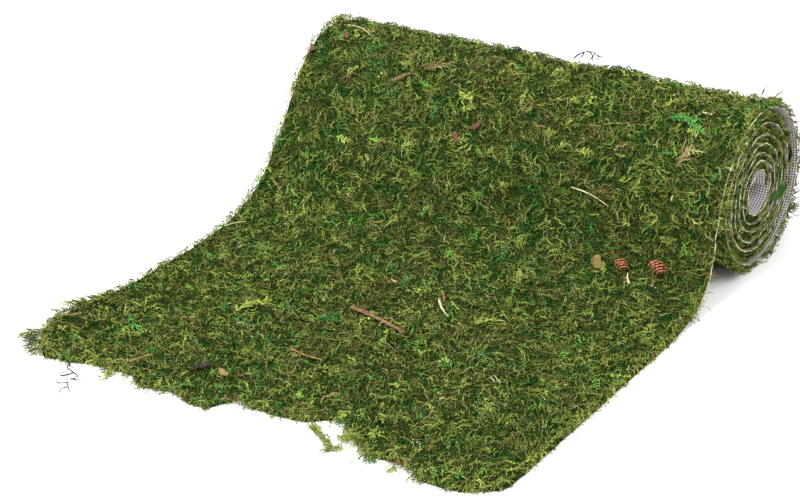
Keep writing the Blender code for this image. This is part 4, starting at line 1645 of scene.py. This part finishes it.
@dataclass
class Litter:
    """What was raked up with the moss and lies in it: twigs, straws, cones, husks and lichen."""

    shape: MatShape
    shoot_material: bpy.types.Material
    seed: int = 23
    finishes: tuple = (
        # Dull brown wood with dark splits along it.
        GrainFinish("Twig wood, weathered", "2c180c", "64482a", "86683c"),
        # Bleached in the sun: the palest lines on the mat.
        GrainFinish("Straw, sun-bleached", "6a5a34", "ac9e72", "d0c6a4"),
        # Rained on and dried: orange-brown lines.
        GrainFinish("Straw, rusty", "40240e", "7c5228", "a8804c"),
        # Dried open: red-brown scales, nearly black in their roots and tan at their tips.
        GrainFinish("Cone scales, dried open", "160904", "5c3018", "a06840", 0.75, mottle_mm=1.4, tip=0.42),
        # Broken off a log: a dull, nearly black lump.
        GrainFinish("Bark, crumbled", "0a0706", "201410", "3c2c24", 0.9),
        # Dried on the plant: tan with dark blotches.
        GrainFinish("Leaf, dead and dry", "2a2008", "6c5c28", "a49058", 0.8, mottle_mm=1.6),
        # Rotted, then dried: a warm mid brown.
        GrainFinish("Leaf, dead and brown", "1c0e06", "532f18", "845436", 0.8, mottle_mm=1.6),
        # Dried in the air: grey-brown wires, darker than the moss.
        GrainFinish("Lichen, dry and wiry", "100f0a", "2a2820", "4c4a40", 0.9),
        # Rubbed clean: small cream specks.
        GrainFinish("Grit and seed husks", "8e8a72", "bcb8a4", "dedccc", 0.8),
    )
    stalks: dict = field(default_factory=lambda: {
        "brown_wood": (
            Stalk("twig_long", (-0.0213, -0.0325), (0.0286, -0.0462), 0.0020, 0.0004, 0.35, 0.50, 0.06,
                  lift=0.0038, rows=34, sides=10),
            Stalk("stem_brown", (-0.0915, 0.1640), (-0.0790, 0.1722), 0.0015, 0.0010, 0.55, 0.6, 0.12),
        ),
        "leaf": (
            Stalk("twig_short", (-0.0981, -0.1527), (-0.0939, -0.1373), 0.0010, 0.0008, 0.5, 0.7, 0.16),
        ),
        "bark": (
            Stalk("bark_chip", (-0.0585, -0.1413), (-0.0535, -0.1327), 0.0026, 0.0, 0.3, 0.5, 0.16,
                  lift=0.0040, sides=9),
        ),
        "straw": (
            Stalk("cone_stalk", (0.1296, 0.0610), (0.1250, 0.0715), 0.0011, 0.0004, 0.75, 0.6, 0.04),
            Stalk("straw_rise", (0.0730, 0.1250), (0.1026, 0.1188), 0.00055, 0.0012, 0.55, dip=0.0012),
            Stalk("straw_left", (-0.1714, 0.0290), (-0.1608, 0.0395), 0.00045, 0.0015, 0.4),
            Stalk("straw_top", (-0.1628, 0.2060), (-0.1323, 0.1960), 0.00045, 0.0020, 0.4),
            Stalk("straw_fork_long", (0.0257, -0.0036), (0.0441, -0.0213), 0.0010, -0.0006, 0.65, 0.7),
            Stalk("straw_pair_near", (0.1085, -0.0765), (0.1165, -0.0835), 0.0004, 0.0003, 0.4),
            Stalk("straw_pair_far", (0.1110, -0.0745), (0.1190, -0.0810), 0.0004, -0.0003, 0.4),
        ),
        "rusty_straw": (
            Stalk("straw_fork_short", (0.0209, 0.0076), (0.0316, -0.0068), 0.0008, 0.0006, 0.3),
            Stalk("straw_rusty", (-0.0226, -0.0965), (0.0086, -0.1033), 0.0007, 0.0022, 0.3, dip=0.0024,
                  rows=24),
            Stalk("straw_edge", (0.1175, -0.1765), (0.1235, -0.1855), 0.0005, 0.0, 0.4),
        ),
    })
    cones: tuple = (
        Cone("cone_large", (0.1435, 0.0832), 0.0140, 0.0108, -0.65, -0.5, 5),
        Cone("cone_small", (0.1195, 0.0777), 0.0108, 0.0098, -0.85, -0.2, 4),
    )
    leaves: tuple = (
        DryLeaf("bud_husk", (0.1020, 0.0750), 0.0130, 0.0096, 3.4, 0.35, True, 0.0038),
        DryLeaf("leaf_front", (-0.0370, -0.1400), 0.0110, 0.0055, 2.2, math.radians(70)),
    )
    brown_leaves: tuple = (
        DryLeaf("leaf_upper", (-0.0258, 0.1369), 0.0090, 0.0050, 1.8, 0.6),
        DryLeaf("leaf_lower", (-0.0110, 0.1478), 0.0100, 0.0036, 1.8, -0.9),
    )
    loose_bits: tuple = (
        DryLeaf("brown_bit_top", (-0.1517, 0.1916), 0.0070, 0.0046, 2.0, 1.2),
        DryLeaf("brown_bit_edge", (-0.1725, 0.1738), 0.0066, 0.0052, 1.8, 0.4),
    )
    grains: Grains = Grains("pale_grit", (
        (0.1330, 0.0780, 0.010, 12), (0.1460, 0.0660, 0.007, 7), (0.0050, 0.0000, 0.018, 10),
        (0.0720, 0.0900, 0.009, 34), (0.1105, -0.1600, 0.003, 9), (-0.1180, 0.1080, 0.004, 4),
        (-0.0100, 0.0400, 0.040, 8), (0.0800, 0.0300, 0.050, 8),
    ))

    def tangles(self) -> tuple:
        """The lichen: over the top edge of the roll, and at the front left corner."""
        top = self.shape.top_run + 0.024
        arch = ((0.018, top, 0.0045), (0.0215, top, 0.0085), (0.0270, top, 0.0112), (0.0330, top, 0.0118),
                (0.0375, top, 0.0095), (0.0368, top, 0.0055))
        twigs = (
            ((0.0250, top, 0.0100), (0.0262, top - 0.002, 0.0075), (0.0240, top - 0.003, 0.0050)),
            ((0.0345, top, 0.0110), (0.0335, top - 0.002, 0.0070), (0.0365, top - 0.003, 0.0048)),
            ((0.0362, top, 0.0100), (0.0395, top, 0.0090), (0.0410, top, 0.0100)),
            ((0.0290, top, 0.0115), (0.0310, top + 0.003, 0.0095), (0.0290, top + 0.004, 0.0060)),
        )
        low = (
            ((-0.1343, -0.1660, 0.0040), (-0.1343, -0.1720, 0.0022), (-0.1250, -0.1740, 0.0014),
             (-0.1200, -0.1763, 0.0010), (-0.1235, -0.1830, 0.0010), (-0.1152, -0.1909, 0.0008),
             (-0.1100, -0.1935, 0.0008)),
            ((-0.1260, -0.1738, 0.0014), (-0.1290, -0.1790, 0.0010), (-0.1330, -0.1800, 0.0010),
             (-0.1330, -0.1760, 0.0014), (-0.1285, -0.1765, 0.0012)),
            ((-0.1215, -0.1850, 0.0010), (-0.1260, -0.1880, 0.0010), (-0.1300, -0.1860, 0.0008)),
            ((-0.1180, -0.1890, 0.0010), (-0.1200, -0.1940, 0.0008), (-0.1165, -0.1960, 0.0008)),
            ((-0.1230, -0.1800, 0.0012), (-0.1180, -0.1800, 0.0010), (-0.1160, -0.1770, 0.0010)),
        )
        return (Tangle("lichen_roll_top", (arch, *twigs), 0.00055), Tangle("lichen_front", low, 0.00050))

    def sprays(self) -> tuple:
        """The fronds and sprigs that stand out from the rest, by the piece that they belong to."""
        leafy, cord, thread, fern = Growth.LEAFY, Growth.CORD, Growth.THREAD, Growth.FERN
        broad, thin = (0.0011, 0.0020), (0.0003, 0.0005)
        floor, low = (0.0006, 0.0022), (0.0010, 0.0035)
        rim, inner, top = self.shape.run_at_turn(0.36), self.shape.run_at_turn(1.288), self.shape.top_run
        return (
            Spray("corner_sprigs", leafy, ((-0.1800, -0.1420), (-0.1855, -0.1480), (-0.1905, -0.1545)), 34,
                  (0.003, 0.005), (0.0008, 0.0014), Hue.YELLOW, 0.70, 0.0005, 0.15, low),
            Spray("corner_sprigs", leafy, ((-0.170, -0.150), (-0.168, -0.160), (-0.160, -0.168)), 26,
                  (0.006, 0.010), broad, Hue.GREEN, 0.50, 0.0030, 0.7, low),
            Spray("corner_sprigs", leafy, ((-0.1755, -0.075), (-0.1770, -0.095), (-0.1775, -0.115),
                                          (-0.1770, -0.132)), 120, (0.005, 0.009), broad, Hue.GREEN, 0.50,
                  0.0018, 1.3, (0.0020, 0.0060), climb=(0.1, 1.0)),
            Spray("corner_sprigs", thread, ((-0.1775, -0.1340), (-0.1710, -0.1220)), 3, (0.012, 0.016),
                  (0.0006, 0.0009), Hue.BROWN, 0.50, 0.0006, 0.15, (0.0050, 0.0065)),
            Spray("corner_curls", cord, ((-0.180, -0.136), (-0.182, -0.146), (-0.177, -0.156),
                                         (-0.166, -0.165)), 60, (0.004, 0.010), (0.0005, 0.0009),
                  Hue.OLIVE, 0.10, 0.0032, 1.4, low, curl=3.0),
            Spray("corner_curls", leafy, ((-0.180, -0.140), (-0.178, -0.152), (-0.168, -0.163)), 34,
                  (0.004, 0.008), (0.0008, 0.0014), Hue.GREEN, 0.30, 0.0030, 1.2, low, curl=1.6),
            Spray("corner_curls", cord, ((-0.118, -0.160), (-0.108, -0.166), (-0.098, -0.168)), 14,
                  (0.005, 0.010), (0.0004, 0.0006), Hue.OLIVE, 0.20, 0.0020, 1.3, low, curl=3.4),
            Spray("front_sprigs", leafy, ((-0.1082, -0.1550), (-0.1060, -0.1659), (-0.1020, -0.1739)), 16,
                  (0.005, 0.008), broad, Hue.YELLOW, 0.75, 0.0006, 0.3, floor),
            Spray("front_sprigs", thread, ((-0.1082, -0.1580), (-0.1060, -0.1659)), 4, (0.010, 0.013), thin,
                  Hue.OLIVE, 0.40, 0.0005, 0.15, floor),
            Spray("front_sprigs", leafy, ((0.0920, -0.1770), (0.0955, -0.1805), (0.0985, -0.1835)), 12,
                  (0.003, 0.006), broad, Hue.EMERALD, 0.60, 0.0008, 0.4, floor),
            Spray("front_sprigs", leafy, ((0.1112, -0.1790), (0.1125, -0.1830), (0.1135, -0.1870)), 10,
                  (0.004, 0.007), broad, Hue.YELLOW, 0.70, 0.0006, 0.4, floor),
            Spray("front_sprigs", thread, ((0.1090, -0.1705), (0.1150, -0.1750)), 9, (0.006, 0.009), thin,
                  Hue.STRAW, 0.55, 0.0010, 0.2, low),
            Spray("notch_strip", leafy, ((0.0430, -0.1680), (0.0440, -0.1650), (0.0480, -0.1660),
                                         (0.0583, -0.1719), (0.0650, -0.1770), (0.0692, -0.1795),
                                         (0.0725, -0.1765), (0.0730, -0.1700)), 100,
                  (0.005, 0.008), (0.0008, 0.0015), Hue.GREEN, 0.62, 0.0006, 0.22, floor),
            Spray("notch_strip", thread, ((0.0452, -0.1640), (0.0583, -0.1719), (0.0692, -0.1795)), 8,
                  (0.008, 0.012), thin, Hue.OLIVE, 0.40, 0.0005, 0.15, floor),
            Spray("notch_strip", leafy, ((0.0640, -0.1690), (0.0690, -0.1660), (0.0724, -0.1640)), 40,
                  (0.004, 0.007), broad, Hue.YELLOW, 0.55, 0.0016, 0.8, floor),
            Spray("notch_strip", leafy, ((0.0700, -0.1790), (0.0685, -0.1815), (0.0668, -0.1835)), 12,
                  (0.004, 0.006), (0.0006, 0.0010), Hue.GREEN, 0.60, 0.0003, 0.2, floor),
            Spray("notch_strip", thread, ((0.0484, -0.1526), (0.0663, -0.1767)), 3, (0.020, 0.024),
                  (0.0006, 0.0009), Hue.OLIVE, 0.10, 0.0004, 0.06, floor, curl=0.2),
            Spray("notch_strip", thread, ((0.0405, -0.1590), (0.0452, -0.1644)), 3, (0.007, 0.010),
                  (0.0006, 0.0009), Hue.OLIVE, 0.15, 0.0005, 0.2, floor, curl=0.3),
            Spray("pale_frond", leafy, ((-0.0847, -0.0696), (-0.0830, -0.0560), (-0.0712, -0.0458)), 34,
                  (0.006, 0.010), (0.0009, 0.0015), Hue.YELLOW, 0.92, 0.0008, 0.22),
            Spray("pale_frond", leafy, ((-0.0290, 0.1640), (-0.0240, 0.1670)), 12, (0.006, 0.009),
                  (0.0010, 0.0016), Hue.YELLOW, 0.95, 0.0012, 1.4),
            Spray("pale_frond", leafy, ((-0.0795, 0.1770), (-0.0620, 0.1810), (-0.0470, 0.1905)), 30,
                  (0.006, 0.010), (0.0007, 0.0012), Hue.STRAW, 0.40, 0.0010, 0.25),
            Spray("green_fronds", fern, ((0.123, 0.186), (0.147, 0.181)), 3, (0.020, 0.026), (0.0030, 0.0045),
                  Hue.EMERALD, 0.75, 0.0012, 0.12, steps=12),
            Spray("green_fronds", fern, ((-0.045, -0.060), (-0.028, -0.052)), 2, (0.016, 0.020),
                  (0.0026, 0.0038), Hue.EMERALD, 0.70, 0.0012, 0.15, steps=11),
            Spray("green_fronds", fern, ((0.060, -0.020), (0.078, -0.012)), 2, (0.015, 0.020),
                  (0.0026, 0.0038), Hue.YELLOW, 0.80, 0.0012, 0.15, steps=11),
            Spray("straw_wisps", thread, ((-0.1435, 0.2040), (-0.1400, 0.2030)), 3, (0.012, 0.015),
                  (0.0006, 0.0008), Hue.STRAW, 0.85, 0.0006, 0.2),
            Spray("rusty_tuft", thread, ((0.142, 0.154), (0.149, 0.164)), 26, (0.006, 0.012),
                  (0.0003, 0.0006), Hue.STRAW, 0.55, 0.0014, 0.35),
            Spray("roll_end_sprigs", leafy, ((0.1745, rim), (0.1790, rim - 0.003), (0.1830, rim - 0.005)), 14,
                  (0.005, 0.007), broad, Hue.GREEN, 0.65, 0.0005, 0.25, (0.0040, 0.0090)),
            Spray("roll_end_frond", leafy, ((0.1825, inner), (0.1825, inner + 0.004)), 12,
                  (0.025, 0.029), (0.0010, 0.0016), Hue.EMERALD, 0.55, 0.0005, 0.05, (-0.0090, -0.0075),
                  steps=16, curl=0.12, climb=(-0.60, -0.46), foot=-0.06),
            Spray("roll_end_sprigs", cord, ((0.1650, top + 0.0200), (0.1670, top + 0.0205)), 2,
                  (0.009, 0.011), (0.0006, 0.0009), Hue.OLIVE, 0.35, 0.0003, 0.2, (0.0050, 0.0060), curl=0.5,
                  climb=(1.1, 1.3), rise=0.010),
            Spray("roll_end_sprigs", cord, ((0.1740, top + 0.0200), (0.1755, top + 0.0205)), 3,
                  (0.008, 0.010), (0.0006, 0.0009), Hue.OLIVE, 0.30, 0.0004, 0.2, (0.0050, 0.0060), curl=0.6,
                  climb=(0.8, 1.1), rise=0.008),
        )

    def dress(self, piece: bpy.types.Object, slot: str, node: Optional[str]) -> None:
        """Let a piece ride on the mat and stand for its plain solid, if it has one."""
        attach(piece, "root")
        if node:
            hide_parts(node)
        report(piece)

    def build(self) -> None:
        """Every piece, each riding on the mat in place of its plain solid if it has one."""
        rng = np.random.default_rng(self.seed)
        wood, straw, rusty, cone, bark, leaf, brown_leaf, lichen, grit = (f.make() for f in self.finishes)
        looks = {"brown_wood": wood, "straw": straw, "rusty_straw": rusty, "bark": bark, "leaf": leaf}
        plan = [(thing, slot, looks[slot], True) for slot, group in self.stalks.items() for thing in group]
        plan += [(thing, "cone", cone, True) for thing in self.cones]
        plan += [(thing, "leaf", leaf, True) for thing in self.leaves]
        plan += [(thing, "leaf", brown_leaf, True) for thing in self.brown_leaves]
        plan += [(thing, "leaf", brown_leaf, False) for thing in self.loose_bits]
        plan += [(thing, "bark", lichen, False) for thing in self.tangles()]
        plan.append((self.grains, "straw", grit, False))
        for thing, slot, look, in_frame in plan:
            points, layers = thing.mould(self.shape, rng)
            pile = MeshPile()
            pile.add(points, layers)
            smooth = not isinstance(thing, Grains)
            name = f"dried_{thing.name}" if in_frame else thing.name
            self.dress(pile.build(name, look, smooth), slot, thing.name if in_frame else None)
        piles: dict[str, MeshPile] = {}
        for spray in self.sprays():
            spray.pour(piles.setdefault(spray.piece, MeshPile()), self.shape, rng)
        for name, pile in piles.items():
            self.dress(pile.build(name, self.shoot_material, False), "moss", None)


# Studio


@dataclass
class Studio:
    """A pale floor, soft light and the camera."""

    floor: FloorFinish = FloorFinish()
    floor_reach: float = 6.0
    lights: tuple = (("key_light", (-0.2, -1.2, 1.7), 0.5, 60.0), ("fill_light", (1.2, -0.1, 1.3), 1.2, 20.0))
    air_colour: str = "ffffff"
    air_strength: float = 0.9
    camera_place: tuple = (0.6516, -0.8432, 0.5811)
    camera_yaw: float = math.radians(-38.34)
    camera_pitch: float = math.radians(27.31)
    camera_roll: float = math.radians(-3.87)
    camera_lens: float = 80.5
    camera_sensor: float = 36.0

    def build_floor(self) -> None:
        """The floor, which isn't part of the object."""
        mesh, far = bpy.data.meshes.new("studio_floor"), self.floor_reach
        mesh.from_pydata([(-far, -far, 0), (far, -far, 0), (far, far, 0), (-far, far, 0)], [], [(0, 1, 2, 3)])
        mesh.materials.append(self.floor.make())
        piece = bpy.data.objects.new("studio_floor", mesh)
        bpy.context.scene.collection.objects.link(piece)

    def add_light(self, name: str, place: tuple, size: float, watts: float) -> None:
        """A square soft light that faces the mat.

        Args:
            name: its name.
            place: where it stands.
            size: the length of its sides.
            watts: its power.
        """
        light = bpy.data.lights.new(name, "AREA")
        light.size = size
        light.energy = watts
        lamp = bpy.data.objects.new(name, light)
        lamp.location = place
        aim = Vector(LIGHT_AIM) - Vector(place)
        lamp.rotation_euler = aim.to_track_quat("-Z", "Y").to_euler()
        bpy.context.scene.collection.objects.link(lamp)

    def build_camera(self) -> None:
        """The camera, turned by yaw, pitch and roll."""
        data = bpy.data.cameras.new("camera")
        data.lens = self.camera_lens
        data.sensor_width = self.camera_sensor
        camera = bpy.data.objects.new("camera", data)
        turn = (Matrix.Rotation(-self.camera_yaw, 4, "Z")
                @ Matrix.Rotation(math.pi / 2 - self.camera_pitch, 4, "X")
                @ Matrix.Rotation(self.camera_roll, 4, "Z"))
        camera.matrix_world = Matrix.Translation(self.camera_place) @ turn
        bpy.context.scene.collection.objects.link(camera)
        bpy.context.scene.camera = camera

    def build(self) -> None:
        """Everything that isn't the object."""
        self.build_camera()
        self.build_floor()
        for light in self.lights:
            self.add_light(*light)
        world = bpy.data.worlds.new("studio_air")
        world.use_nodes = True
        air = world.node_tree.nodes["Background"].inputs
        air["Color"].default_value = linear(self.air_colour)
        air["Strength"].default_value = self.air_strength
        bpy.context.scene.world = world
        bpy.context.scene.view_settings.view_transform = "Standard"


def main() -> None:
    """Build and dress the whole mat, in order."""
    logging.basicConfig(level=logging.INFO, format="%(message)s")
    Studio().build()
    shape = MatShape()
    Backing(shape).build()
    bed = MossBed(shape)
    bed.build()
    Litter(shape, bed.material).build()


if __name__ == "__main__":
    main()
